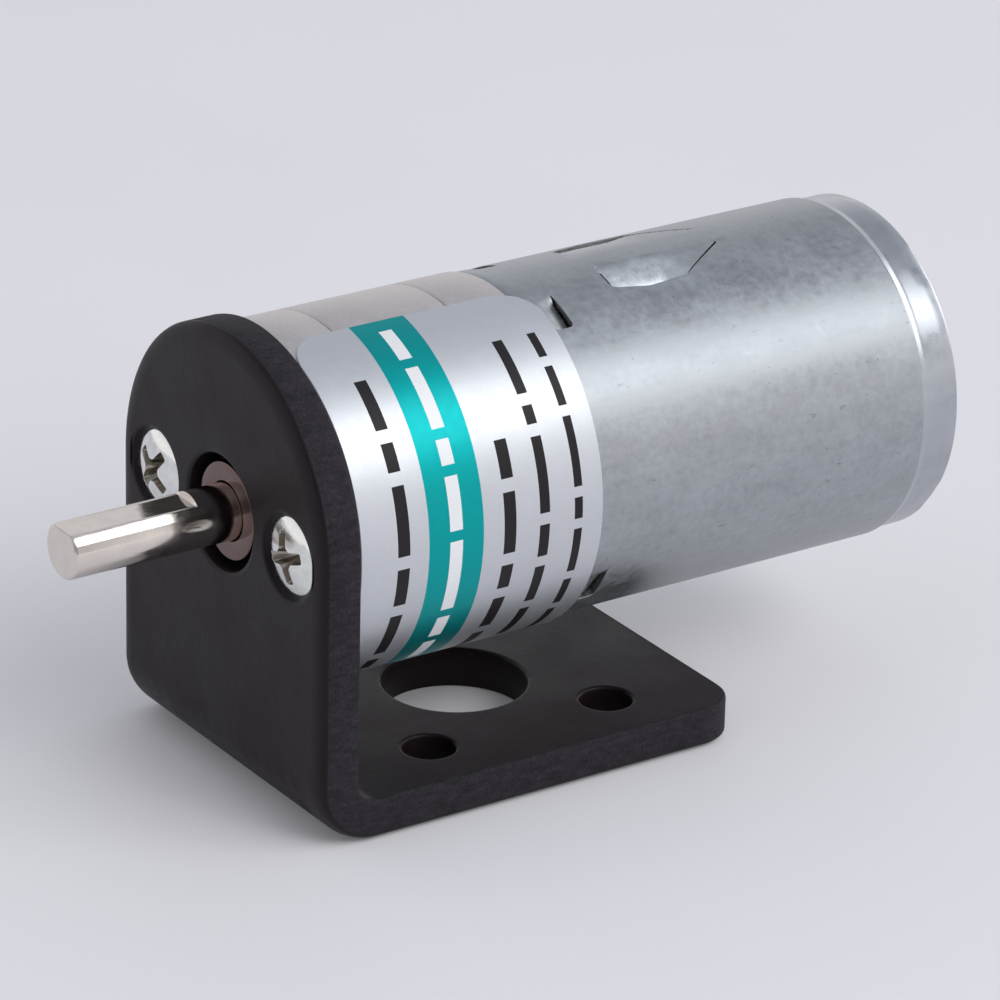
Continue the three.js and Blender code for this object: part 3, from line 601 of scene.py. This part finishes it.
def edge_section():
    """(inset, depth) pairs round the strip's edge, from its front face to its back face."""
    turns = [unit(15 * i) for i in range(7)]
    front = [(ROLL[0] * (1 - s), ROLL[1] * (1 - c)) for c, s in turns]
    back = [(BURR * (1 - c), PLATE - BURR + BURR * s) for c, s in turns[::2]]
    return [(ROLL[0] + 0.1, 0.0)] + front + [(0, PLATE / 2)] + back + [(BURR + 0.08, PLATE)]


def hole_section(radius, roll=0.3, sink=None):
    """(radius, depth) pairs down a hole. sink is the radius of a countersink at the front face."""
    turns = [unit(30 * i) for i in range(4)]
    mouth = sink or radius
    front = [(mouth + roll * (1 - s), roll * 0.6 * (1 - c)) for c, s in turns]
    cone = [(radius, front[-1][1] + mouth - radius)] if sink else []
    back = [(radius + BURR * (1 - c), PLATE - BURR + BURR * s) for c, s in turns]
    return [(mouth + roll + 0.08, 0.0)] + front + cone + back + [(radius + BURR + 0.08, PLATE)]


def bracket_holes():
    """(across, along, section) of each hole in the flat strip."""
    middle = FOOT_START - BEND_OUTSIDE + FOOT_CENTRE_Y
    rows = [(0, TOP, hole_section(BOSS_HOLE, roll=0.35))]
    rows += [(side * SCREW_X, TOP, hole_section(SCREW_HOLE, sink=3.0, roll=0.25)) for side in (-1, 1)]
    rows.append((0, middle, hole_section(FOOT_WINDOW)))
    for side in (-1, 1):
        places = [middle + end * FOOT_HOLE_PITCH / 2 for end in (-1, 1)]
        rows += [(side * FOOT_HOLE_X, along, hole_section(FOOT_HOLE)) for along in places]
    return rows


def make_bracket():
    shell = Shell()
    section, holes, steps = edge_section(), bracket_holes(), 56
    # band along the back edge that the coat paints lighter: partly rubbed coating, partly painted highlight
    rubbed_and_sheen = [math.exp(-(((depth - PLATE) / 0.25) ** 2)) for _, depth in section[:-1]] + [0]
    edges = [[bent(a, b, depth) for a, b in strip_outline(inset)] for inset, depth in section]
    shell.rings(edges, wear=rubbed_and_sheen)
    for i, face in enumerate(shell.faces):
        if min(strip_depth(shell.verts[v]) for v in face) > ROLL[1] - 0.1:
            shell.slots[i] = EDGE_SLOT
    for across, along, rim in holes:
        shell.rings([[bent(a, b, depth) for a, b in circle(r, steps, (across, along))] for r, depth in rim])
    rows = [BEND_START + BEND_LENGTH * i / BEND_STEPS for i in range(BEND_STEPS + 1)]
    bend = [(across, row) for across in np.linspace(2 - HALF_WIDTH, HALF_WIDTH - 2, 14) for row in rows]
    for side, depth in ((0, 0.0), (-1, PLATE)):
        loops = [strip_outline(section[side][0])]
        loops += [circle(rim[side][0], steps, (across, along)) for across, along, rim in holes]
        shell.filled(loops, lambda a, b, d=depth: bent(a, b, d), (1.6, 1.6), extra=bend)
    make_piece("bracket", shell, ["coat", "edge"], ["mounting_bracket"])


def strip_depth(vert):
    """How far a point of the bracket lies behind its front and bottom face."""
    _, y, z = vert
    if z > FLOOR + BEND_OUTSIDE:
        return y
    if y > BEND_OUTSIDE:
        return z - FLOOR
    return BEND_OUTSIDE - math.dist((y, z), (BEND_OUTSIDE, FLOOR + BEND_OUTSIDE))


# ---- Screws ----

CROWN_RADIUS = 6.0  # of the sphere that the head's top is part of
RECESS_REACH = 1.95  # from the screw's axis to the end of each wing
RECESS_SHADE_SLOT = 1


def crown(top, reach):
    """Where the head's top lies along Y, at a distance from the screw's axis."""
    return top + CROWN_RADIUS - math.sqrt(CROWN_RADIUS**2 - reach**2)


def raised_screw(x, turn, top, tip):
    """A raised countersunk screw with a cross recess, between two places along Y."""
    head, shank = 2.78, 1.5
    rim = crown(top, head)
    section = [(r, crown(top, r)) for r in np.linspace(0, head - 0.05, 10)]
    section += [(head, rim + 0.02), (head - 0.03, rim + 0.07), (shank, rim + head - shank)]
    section += [(shank, tip - 0.3), (shank - 0.3, tip), (0, tip)]
    body = turned_shell(section, steps=72, loop=False)
    recess = cross_recess(top, turn)
    for shell in (body, recess):
        shell.verts = [(vx + x, vy, vz) for vx, vy, vz in shell.verts]
    return carved(body, cuts=[recess], soften=0.05)


def cross_recess(top, turn):
    """The tool that leaves a cross recess: a four-winged cross that shrinks towards its tip."""
    half, corner = 0.42, 0.72
    wing = [(RECESS_REACH, -half, 0.2), (RECESS_REACH, half, 0.2)]
    wing += [(corner, half, 0.25), (half, corner, 0.25)]
    corners = []
    for k in range(4):
        c, s = unit(turn + 90 * k)
        corners += [(a * c - b * s, a * s + b * c, radius) for a, b, radius in wing]
    outline = rounded(corners, steps=3)
    sections = [(top - 0.4, 1.1), (top + 0.9, 0.78), (top + 1.35, 0.5), (top + 1.9, 0.15)]
    shell = Shell()
    rings = [[(a * size, y, b * size) for a, b in outline] for y, size in sections]
    shell.rings([[(0, sections[0][0], 0)], *rings, [(0, sections[-1][0], 0)]])
    return shell


def make_bracket_screws():
    for name, x, turn in (("left", -SCREW_X, 50), ("right", SCREW_X, 17)):
        node = f"bracket_screw_{name}"
        top = cad_low(node, Y)
        mesh = raised_screw(x, turn, top, cad_high(node, Y))
        for face in mesh.polygons:
            place = (face.center - ORIGIN) / MM
            reach = math.hypot(place.x - x, place.z)
            # painted shade: faces inside the cross recess get the darkened plating
            if reach < RECESS_REACH and place.y > crown(top, reach) + 0.1:
                face.material_index = RECESS_SHADE_SLOT
        name = f"raised_screw_{name}"
        make_piece(name, mesh, ["screw", "recess"], [node], sharp=40)


# ---- Gearbox case ----

CASE_SCREWS = [arc(9.9, angle, angle, 1)[0] for angle in (24, 156, 270)]
MOTOR_SCREWS = [(-8, 0), (8, 0)]


def turned_tools(centres, *profile):
    """Turned tools along Y, one round each centre, from (radius, y) pairs."""
    closed = [(0, profile[0][1]), *profile, (0, profile[-1][1])]
    return [turned_shell(closed, steps=24, loop=False, centre=centre) for centre in centres]


def make_gearbox():
    outer, inner, bore, spigot, edge = GEARBOX_RADIUS, GEARBOX_RADIUS - 1.5, 3.55, 3.1, 0.2
    lobe, hole, sink, motor_hole = 1.5, 1.05, 1.85, 1.3
    names = ("front_plate", "ring", "rear_plate")
    (a, b), (c, d), (e, f) = [[cad(f"gearbox_{name}", Y) for cad in (cad_low, cad_high)] for name in names]
    front = [(bore, a, 0), (outer, a, 0.25), (outer, b, edge), (inner, b, 0)]
    front += [(inner, a + 3, 0.3), (bore, a + 3, 0)]
    ring = [(inner, c, 0), (outer, c, edge), (outer, d, edge), (inner, d, 0)]
    rear = [(spigot, f - 2, 0), (inner, f - 2, 0.3), (inner, e, 0), (outer, e, edge)]
    rear += [(outer, f, edge), (spigot, f, 0)]
    sunk = turned_tools(CASE_SCREWS, (sink, a - 1), (sink, a), (hole, a + sink - hole), (hole, b + 1))
    through = turned_tools(CASE_SCREWS, (hole, c - 1), (hole, d + 1))
    behind = turned_tools(CASE_SCREWS, (hole, e - 1), (hole, f - 1))
    behind += turned_tools(MOTOR_SCREWS, (motor_hole, f - 3), (motor_hole, f + 1))
    spans = (a + 2.5, b), (c, d), (e, f - 1.5)
    for name, corners, span, cuts in zip(names, (front, ring, rear), spans, (sunk, through, behind)):
        lobes = turned_tools(CASE_SCREWS, *[(lobe, y) for y in span])
        mesh = carved(turned_shell(rounded(corners, steps=3), steps=180), lobes, cuts)
        make_piece(f"case_{name}", mesh, ["nickel"], [f"gearbox_{name}"])


def make_output_bush():
    front, back = cad_low("output_bush", Y), cad_high("output_bush", Y)
    bore, outer, flange, seat = 2.06, 3.45, 4.4, back - 0.8
    corners = [(bore, front, 0.13), (outer, front, 0.13), (outer, seat, 0), (flange, seat, 0.1)]
    corners += [(flange, back, 0.1), (bore, back, 0.1)]
    make_piece("bush", turned_shell(rounded(corners)), ["bronze"], ["output_bush"])


# ---- Output shaft ----


def make_output_shaft():
    radius = cad_high("output_shaft", X)
    tip, inner = cad_low("output_shaft", Y), cad_high("output_shaft", Y)
    flat, flat_end = 1.5, -2.6
    limit = math.degrees(math.acos(flat / radius))
    angles = [90 + limit * k / 12 for k in range(-12, 13)]
    rest = 360 - 2 * limit
    angles += [90 + limit + rest * k / 84 for k in range(1, 84)]

    def section(y, size, cut):
        points = []
        for angle in angles:
            c, s = unit(angle)
            reach = min(size, cut / s) if s > 0.1 else size
            points.append((reach * c, y, reach * s))
        return points

    turns = (0, 0.5, 1.0, math.pi / 2)
    bevel = [(tip + 0.28 * (1 - math.cos(t)), radius - 0.28 * (1 - math.sin(t))) for t in turns]
    rings = [[(0, tip, 0)], section(tip, radius - 0.34, flat - 0.1)]
    rings += [section(y, size, flat if y > tip + 0.1 else flat - 0.07) for y, size in bevel]
    rings += [section(flat_end - 0.03, radius, flat), section(flat_end, radius, flat + 0.02)]
    rings += [section(flat_end + 0.08, radius, radius), section(inner - 0.2, radius, radius)]
    rings += [section(inner, radius - 0.2, radius), [(0, inner, 0)]]
    shell = Shell()
    shell.rings(rings)
    make_piece("d_shaft", shell, ["shaft"], ["output_shaft"], "output", sharp=22)


# ---- Motor can ----

CAN_STEPS = 240
CAN_SEAM = -170  # where the unrolled wall starts and ends, in degrees
CAN_WALL = 1.0
SKIN_FRONT = CAN_FRONT + 0.5
SHOULDER = 0.5  # rounding of the wall's rear end
SLOPE = 24  # degrees, of the cone between the wall and the rim
SKIN_END = BODY_END - 0.42
RIM_BACK = 50.9  # where the wall's inside meets the rolled rim
LIP = 0.035  # softened edge of each pressed-in mark
BURNISH_AND_SHEEN_DEPTH = 0.3  # depth at which the bent metal is fully lightened: partly burnish, partly painted highlight
OPEN = 4 * CAN_WALL  # depth that stands for a hole right through
RIM_SLOT, CUT_SLOT = 1, 2


def on_can(length, y, depth=0.0):
    """From the can's unrolled surface, in millimetres round and along it."""
    angle = length / CAN_RADIUS
    reach = CAN_RADIUS - depth
    return (reach * math.cos(angle), y, reach * math.sin(angle))


def nearest(line, point):
    """Distance from a point to a line of points."""
    a, b = np.array(line[:-1]), np.array(line[1:])
    along = np.clip(((np.array(point) - a) * (b - a)).sum(1) / ((b - a) ** 2).sum(1), 0, 1)
    return np.hypot(*(a + along[:, None] * (b - a) - point).T).min()


def pressing(corners, cut, slit, depth, mirrored):
    """A pressed-in mark: its outline, its depth at any point, and the points just inside its slit. Corners are
    (y, degrees, radius) and cut is the slit's line. slit gives half its width, and depth the metal's depth."""

    def place(y, degrees):
        return (math.radians(180 - degrees if mirrored else degrees) * CAN_RADIUS, y)

    def on_side(length):
        degrees = math.degrees(length / CAN_RADIUS)
        return 180 - degrees if mirrored else degrees

    outline = divided(rounded([(*place(y, s), r) for y, s, r in corners], steps=6), 0.11)
    line = [place(*point) for point in cut]

    def deep(length, y):
        if nearest(line, (length, y)) < slit(y, on_side(length)):
            return OPEN
        return max(0.0, depth(y, on_side(length)))

    edge = grown(outline, [-1.04 * slit(y, on_side(length)) for length, y in outline])
    return outline, deep, edge


def magnet_stop(mirrored):
    """The long tongue between the magnets, hinged along its top edge and cut free along the others."""
    hinge, low = 85.0, 69.5
    corners = [(29.0, 84.6, 0.5), (28.8, 72.2, 0.6), (31.6, 69.2, 2.5), (34.9, 70.6, 0.5)]
    corners += [(39.5, 84.0, 0.15), (34.2, 85.6, 3.0)]
    cut = [(28.9, 80.5), (28.8, 72.2), (31.6, 69.2), (34.9, 70.6), (39.5, 84.0)]
    deepest, gap = (0.25, 0.05) if mirrored else (1.4, 0.12)

    def depth(y, degrees):
        fall = max(0.0, (hinge - degrees) / (hinge - low)) ** 1.15
        return deepest * fall * (1 - 0.85 * smooth_step((y - 33.4) / 2.4))

    def slit(y, degrees):
        return gap + 0.8 * depth(y, degrees) * smooth_step((30.3 - y) / 0.9)

    return pressing(corners, cut, slit, depth, mirrored)


def front_stop(low, mirrored):
    """A short step in front of a magnet: the metal slopes in to a cut edge."""
    start, end, high = 22.55, 24.15, low + 15
    corners = [(start, low, 0.45), (start, high, 0.25), (end, high, 0.12), (end, low, 0.35)]

    def open_share(degrees):
        """How far along the step's widening slit a point lies, from 0 to 1."""
        return min(1.0, max(0.0, (high - degrees) / (high - low)))

    def depth(y, degrees):
        fold = smooth_step((high - degrees) / 5)
        return (0.42 * fold + 0.2 * open_share(degrees)) * (y - start) / (end - start)

    def slit(_, degrees):
        return 0.08 + 0.12 * open_share(degrees)

    return pressing(corners, [(end, high), (end, low)], slit, depth, mirrored)


def grown(outline, by):
    """An outline moved outwards by a little, or by its own distance at each point."""
    distances = by if isinstance(by, list) else [by] * len(outline)
    turned = sum(a[0] * b[1] - b[0] * a[1] for a, b in zip(outline, outline[1:] + outline[:1]))
    way = math.copysign(1, turned)
    made = []
    for i, (here, reach) in enumerate(zip(outline, distances)):
        before, after = outline[i - 1], outline[(i + 1) % len(outline)]
        along = Vector((after[0] - before[0], after[1] - before[1])).normalized()
        made.append((here[0] + along.y * reach * way, here[1] - along.x * reach * way))
    return made


def press_in(shell, outline, deep, edge):
    """Adds one pressed-in mark to the can: a soft lip, the cut wall, and the bent metal up to its slit."""
    rings = [[on_can(*p) for p in grown(outline, LIP)]]
    rings += [[on_can(*p, min(most, deep(*p))) for p in outline] for most in (LIP, CAN_WALL)]
    shell.rings(rings)
    # the cut wall takes the dark sheared zinc: partly the bare cut edge, partly painted shade
    shell.slots[-len(outline) :] = [CUT_SLOT] * len(outline)
    points, triangles = triangulate([outline], (0.2, 0.2), extra=edge)
    depths = [deep(*p) for p in points]
    bent_metal = [t for t in triangles if max(depths[i] for i in t) < OPEN]
    # lightening mask, growing with depth: partly burnish from the press, partly painted highlight
    rubbed_and_sheen = [smooth_step(d / BURNISH_AND_SHEEN_DEPTH) for d in depths]
    places = [on_can(*p, CAN_WALL if d == OPEN else d) for p, d in zip(points, depths)]
    shell.add(places, bent_metal, wear=rubbed_and_sheen)


def can_wall(shell, low, high, depth, holes):
    """The can's wall between two places along it, unrolled and open at the holes."""
    span = 2 * math.pi * CAN_RADIUS
    first = math.radians(CAN_SEAM) * CAN_RADIUS
    turns = [first + span * i / CAN_STEPS for i in range(CAN_STEPS + 1)]
    sides = [low + (high - low) * i / 24 for i in range(25)]
    edge = [(a, low) for a in turns] + [(turns[-1], y) for y in sides[1:]]
    edge += [(a, high) for a in reversed(turns[:-1])] + [(first, y) for y in reversed(sides[1:-1])]
    loops = [edge]
    for hole in holes:
        shift = span * math.floor((hole[0][0] - first) / span)
        loops.append([(a - shift, y) for a, y in hole])
    shell.filled(loops, lambda a, b: on_can(a, b, depth), (span / 150, 1.2))


def crimped(angle, radius, y):
    """The rim's radius, pressed in at four places to hold the end cap."""
    near = abs((angle - 54 + 45) % 90 - 45)
    pressed = smooth_step((9 - near) / 5) * smooth_step((y - 51.5) / 0.9)
    return radius - 0.07 * pressed if radius > CAN_INNER + 0.2 else radius


def make_can():
    shell = Shell()
    marks = [magnet_stop(mirrored) for mirrored in (False, True)]
    marks += [front_stop(low, mirrored) for low in (60, -42) for mirrored in (False, True)]
    for mark in marks:
        press_in(shell, *mark)
    can_wall(shell, SKIN_FRONT, SKIN_END, 0, [grown(mark[0], LIP) for mark in marks])
    can_wall(shell, CAN_FRONT + CAN_WALL, RIM_BACK, CAN_WALL, [mark[0] for mark in marks])
    boss, boss_bore, boss_front = 3.05, 2.5, cad_low("motor_can", Y)
    corner = arc(0.5, 90, 180, 5, (SKIN_FRONT, CAN_RADIUS - 0.5))
    front = [(r, y) for y, r in corner] + [(boss, CAN_FRONT), (boss, boss_front), (boss_bore, boss_front)]
    front += [(boss_bore, CAN_FRONT + CAN_WALL), (CAN_INNER, CAN_FRONT + CAN_WALL)]
    shell.turned(front, steps=CAN_STEPS, loop=False, start=CAN_SEAM)
    first = len(shell.faces)
    shoulder = [(r, y) for y, r in arc(SHOULDER, 90, 90 - SLOPE, 5, (SKIN_END, CAN_RADIUS - SHOULDER))]
    low_end = RIM_RADIUS + 0.03
    cone = (shoulder[-1][0] - low_end) / math.tan(math.radians(SLOPE))
    foot = shoulder[-1][1] + cone
    rim = [(low_end, foot), (RIM_RADIUS, foot + 0.12), (RIM_RADIUS, foot + 0.3)]
    rim += [(RIM_RADIUS, 51.1 + 0.15 * k) for k in range(7)] + [(RIM_RADIUS, RIM_END - 0.2)]
    rim += [(RIM_RADIUS - 0.06, RIM_END - 0.06), (RIM_RADIUS - 0.2, RIM_END)]
    rim += [(CAN_INNER + 0.15, RIM_END), (CAN_INNER, RIM_END - 0.15), (CAN_INNER, RIM_BACK)]
    shell.turned(shoulder + rim, steps=CAN_STEPS, loop=False, start=CAN_SEAM, warp=crimped)
    shell.slots[first:] = [RIM_SLOT] * (len(shell.faces) - first)
    make_piece("can", shell, ["can", "rim", "cut_zinc_and_shade"], ["motor_can"], sharp=38)


# ---- End cap, terminals ----


def make_end_cap():
    front, face, back = 46.2, 51.9, cad_high("motor_end_cap", Y)
    outer = cad_high("motor_end_cap", X)
    floor, hub = face - 1.7, back - 0.4
    corners = [(2.6, floor, 0.1), (outer - 1.2, floor, 0.3), (outer - 1.2, front, 0.1), (outer, front, 0.1)]
    corners += [(outer, face, 0.25), (8.9, face, 0.1), (8.7, face - 0.45, 0.1), (5.3, face - 0.45, 0.1)]
    corners += [(5.1, face, 0.1), (3.9, face, 0.2), (3.5, back, 0.25), (1.5, back, 0.1)]
    corners += [(1.5, hub, 0), (2.6, hub, 0)]
    body = turned_shell(rounded(corners, steps=3), steps=120)
    tab, vent = 7.5, 7.1  # distance from the axis
    pads = [block((-2.6, face - 1, s * tab - 1.5), (2.6, face + 0.05, s * tab + 1.5)) for s in (-1, 1)]
    slots = [block((-1.45, 45, s * tab - 0.3), (1.45, 55, s * tab + 0.3)) for s in (-1, 1)]
    vents = [block((s * vent - 0.8, 45, -1.9), (s * vent + 0.8, 55, 1.9)) for s in (-1, 1)]
    mesh = carved(body, pads, slots + vents, soften=0.06)
    make_piece("end_cap", mesh, ["cap"], ["motor_end_cap"])


def make_terminals():
    bevel = 0.06
    for name in ("upper", "lower"):
        node = f"terminal_{name}"
        x_low, y_low, z_low = (cad_low(node, k) for k in (X, Y, Z))
        x_high, y_high, z_high = (cad_high(node, k) for k in (X, Y, Z))
        corners = [(x_low, y_low, 0.1), (x_high, y_low, 0.1), (x_high, y_high, 0.7), (x_low, y_high, 0.7)]
        outline = divided(rounded(corners, steps=6), 0.5)
        eye = circle(0.55, 28, (0, y_high - 1.3))
        inward = [grown(outline, -bevel), grown(eye, bevel)]
        shell = Shell()
        for loop, face in zip((outline, eye), inward):
            levels = [(face, z_low), (loop, z_low + bevel), (loop, z_high - bevel), (face, z_high)]
            shell.rings([[(a, b, z) for a, b in points] for points, z in levels])
        for z in (z_low, z_high):
            shell.filled(inward, lambda a, b, z=z: (a, b, z), (0.6, 0.6))
        make_piece(f"tab_{name}", shell, ["tin"], [node])


# ---- Label ----

LABEL_OUTER = cad_high("rating_label", X)
LABEL_INNER = 12.47
FILM_SLOT, BAND_SLOT, INK_SLOT, WHITE_SLOT = range(4)


def box_loop(low, high, pitch):
    """A rectangle between two corners, with points along its sides."""
    return divided([low, (high[0], low[1]), high, (low[0], high[1])], pitch)


def print_bars():
    """Plain bars in place of print, as (slot, low corner, high corner) in (degrees, y)."""
    # each row is a slot, where it lies along Y, the angle that it starts at, its gap, and its bars' angles
    rows = [
        (INK_SLOT, 6.05, 7.0, 57, 4.2, (17, 9, 22, 13, 19, 8, 16)),
        (WHITE_SLOT, 10.15, 11.15, 74, 3.4, (13, 21, 8, 17, 25, 10, 14, 19)),
        (INK_SLOT, 14.45, 15.4, 29, 4.2, (12, 20, 9, 15, 18)),
        (INK_SLOT, 17.3, 18.1, 60, 3.8, (19, 6, 24, 11, 15, 20)),
        (INK_SLOT, 20.1, 20.75, 60, 3.4, (9, 13, 22, 7, 16, 12, 19)),
    ]
    bars = []
    for slot, low, high, end, gap, widths in rows:
        for width in widths:
            bars.append((slot, (end - width, low), (end, high)))
            end -= width + gap
    return bars


def make_label():
    y_low, y_high = cad_low("rating_label", Y), cad_high("rating_label", Y)
    top, bottom = 79.5, -95.0
    corner = 3.0
    band = (8.5, 12.8)

    def round_label(degrees, y):
        return (math.radians(degrees) * LABEL_OUTER, y)

    def place(radius):
        def on_label(length, y):
            angle = length / LABEL_OUTER
            return (radius * math.cos(angle), y, radius * math.sin(angle))

        return on_label

    ends = [(bottom, y_low), (top, y_low), (top, y_high), (bottom, y_high)]
    outline = divided(rounded([(*round_label(*end), corner) for end in ends], steps=10), 0.45)
    face = grown(outline, -0.04)
    bars = [(slot, round_label(*low), round_label(*high)) for slot, low, high in print_bars()]
    past = 1.0  # how far the band's marks run past the label's ends
    marks = [box_loop((face[0][0] - past, band[0]), (round_label(top, 0)[0] + past, band[1]), 0.45)]
    marks += [box_loop(low, high, 0.45) for _, low, high in bars]

    def slot_at(length, y):
        for slot, low, high in bars:
            if low[0] < length < high[0] and low[1] < y < high[1]:
                return slot
        return BAND_SLOT if band[0] < y < band[1] else FILM_SLOT

    shell = Shell()
    sections = [(face, LABEL_OUTER), (outline, LABEL_OUTER - 0.03), (outline, LABEL_INNER)]
    shell.rings([[place(radius)(*p) for p in loop] for loop, radius in sections])
    shell.filled([face], place(LABEL_OUTER), (0.5, 0.9), slot_at=slot_at, marks=marks)
    shell.filled([outline], place(LABEL_INNER), (0.6, 1.2))
    keys = ["silver", "teal", "ink", "white"]
    make_piece("label", shell, keys, ["rating_label"], sharp=25)


# ---- Small turned pieces ----


def make_turned(name, node, body, material, bore=0.0, chamfer=0.12):
    """A plain turned piece with chamfered ends, in a node's place."""
    low, high, radius = cad_low(node, Y), cad_high(node, Y), cad_high(node, X)
    corners = [(bore, low), (radius - chamfer, low), (radius, low + chamfer)]
    corners += [(radius, high - chamfer), (radius - chamfer, high), (bore, high)]
    shell = turned_shell(corners, steps=64, loop=bore > 0)
    make_piece(name, shell, [material], [node], body)


def make_inner_pieces():
    make_turned("rotor_spindle", "rotor_shaft", "rotor", "shaft")
    for end in ("front", "rear"):
        make_turned(f"{end}_bush", f"motor_{end}_bush", "frame", "bronze", bore=1.06)


CARRIED_OVER = {
    "screw": "case_screw_1 case_screw_2 case_screw_3 motor_screw_left motor_screw_right",
    "gear_steel": "output_gear first_pinion second_pinion first_arbor second_arbor",
    "gear_brass": "first_wheel second_wheel motor_pinion output_thrust_washer first_arbor_front_spacer"
    " first_arbor_rear_spacer second_arbor_front_spacer second_arbor_rear_spacer",
    "spring": "output_retaining_clip magnet_spring_clip",
    "ferrite": "magnet_left magnet_right",
    "lamination": "rotor_core",
    "copper": "coil_1 coil_2 coil_3",
    "arm": "brush_arm_upper brush_arm_lower commutator_bar_1 commutator_bar_2 commutator_bar_3",
    "carbon": "brush_upper brush_lower",
    "insulator": "commutator_hub varistor_ring rotor_front_washer rotor_rear_washer",
}


def finish_carried_over():
    """Gives the pieces that keep their CAD shape their materials."""
    for key, names in CARRIED_OVER.items():
        for name in names.split():
            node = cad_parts[name]
            node.data.materials.clear()
            node.data.materials.append(MATERIALS[key])


# ---- Floor, light and camera ----


def make_floor():
    size = 1.6
    mesh = bpy.data.meshes.new("floor")
    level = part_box("mounting_bracket")[0].z - 0.00002
    corners = [(x * size, y * size, level) for x, y in ((-1, -1), (1, -1), (1, 1), (-1, 1))]
    mesh.from_pydata(corners, [], [(0, 1, 2, 3)])
    grain = texture(40.0, 2, shade=(0.99, 1.01))
    waves = texture(1.5, relief=0.004)
    paper = finish("pale_paper", (0.775, 0.762, 0.788), 0.0, 0.62, grain, waves, Emission_Strength=0.06)
    mesh.materials.append(paper)
    linked("floor", mesh)


def aim(thing, place, target, roll=0.0):
    """Puts a camera or light at a place, with its -Z axis to a target and its +Y up."""
    back = (place - target).normalized()
    side = Vector((0, 0, 1)).cross(back).normalized()
    rise = back.cross(side)
    thing.location = place
    turned = side * math.cos(roll) + rise * math.sin(roll)
    thing.rotation_mode = "QUATERNION"
    columns = (turned, back.cross(turned), back)
    thing.rotation_quaternion = Matrix(columns).transposed().to_quaternion()


def make_softbox(name, direction, size, power):
    """A light one metre from a point on the motor. Its size is in metres."""
    data = bpy.data.lights.new(name, "AREA")
    data.shape = "RECTANGLE"
    data.size, data.size_y = size
    data.energy = power
    light = linked(name, data)
    centre = ORIGIN + Vector((0, 20, 0)) * MM
    aim(light, centre + Vector(direction).normalized(), centre)
    return light


def make_world():
    """Even light with a pale horizon, and a dark side in front of the motor on its right."""
    world = bpy.data.worlds.new("studio")
    world.use_nodes = True
    nodes = world.node_tree.nodes
    kinds = ("TexCoord", "SeparateXYZ", "ValToRGB", "VectorMath", "MapRange")
    place, parts, ramp, facing, dim = (nodes.new(f"ShaderNode{kind}") for kind in kinds)
    sky = ramp.color_ramp
    sky.elements[0].color = (0.95, 0.93, 0.94, 1)
    sky.elements[1].color = (0.46, 0.48, 0.53, 1)
    sky.elements.new(0.3).color = (0.78, 0.78, 0.80, 1)
    sky.elements.new(0.62).color = (0.42, 0.44, 0.49, 1)
    facing.operation = "DOT_PRODUCT"
    facing.inputs[1].default_value = (0.83, -0.56, 0)
    for socket, value in (("From Min", 0.5), ("From Max", 0.9), ("To Min", 1.13), ("To Max", 0.3)):
        dim.inputs[socket].default_value = value
    background = nodes["Background"].inputs
    for source, target in (
        (place.outputs["Generated"], parts.inputs[0]),
        (place.outputs["Generated"], facing.inputs[0]),
        (parts.outputs["Z"], ramp.inputs["Fac"]),
        (facing.outputs["Value"], dim.inputs["Value"]),
        (ramp.outputs["Color"], background["Color"]),
        (dim.outputs["Result"], background["Strength"]),
    ):
        world.node_tree.links.new(source, target)
    bpy.context.scene.world = world


def make_lights():
    """A soft key light, one behind that only shines, and one at the side that only brightens."""
    make_softbox("key", (0.62, 0.34, 0.67), (0.82, 0.52), 3.6)
    make_softbox("kicker", (0.03, 0.96, 0.28), (0.5, 0.46), 1.9).visible_diffuse = False
    make_softbox("side", (0.8, 0.14, 0.58), (0.4, 0.4), 1.7).visible_glossy = False
    make_world()


def make_camera():
    """A long lens from the front right, a little above the motor."""
    azimuth, elevation, roll = (math.radians(a) for a in (55.743, 23.702, 1.379))
    distance = 405.52
    target = ORIGIN + Vector((3.813, 20.0, -2.143)) * MM
    level = Vector((math.sin(azimuth), -math.cos(azimuth), 0))
    back = level * math.cos(elevation) + Vector((0, 0, math.sin(elevation)))
    data = bpy.data.cameras.new("camera")
    data.lens = 214.256
    data.sensor_width = 36
    camera = linked("camera", data)
    aim(camera, target + back * distance * MM, target, roll)
    bpy.context.scene.camera = camera


make_camera()
make_bracket()
make_bracket_screws()
make_gearbox()
make_output_bush()
make_output_shaft()
make_can()
make_end_cap()
make_terminals()
make_label()
make_inner_pieces()
finish_carried_over()
make_floor()
make_lights()
bpy.context.scene.view_settings.view_transform = "Standard"
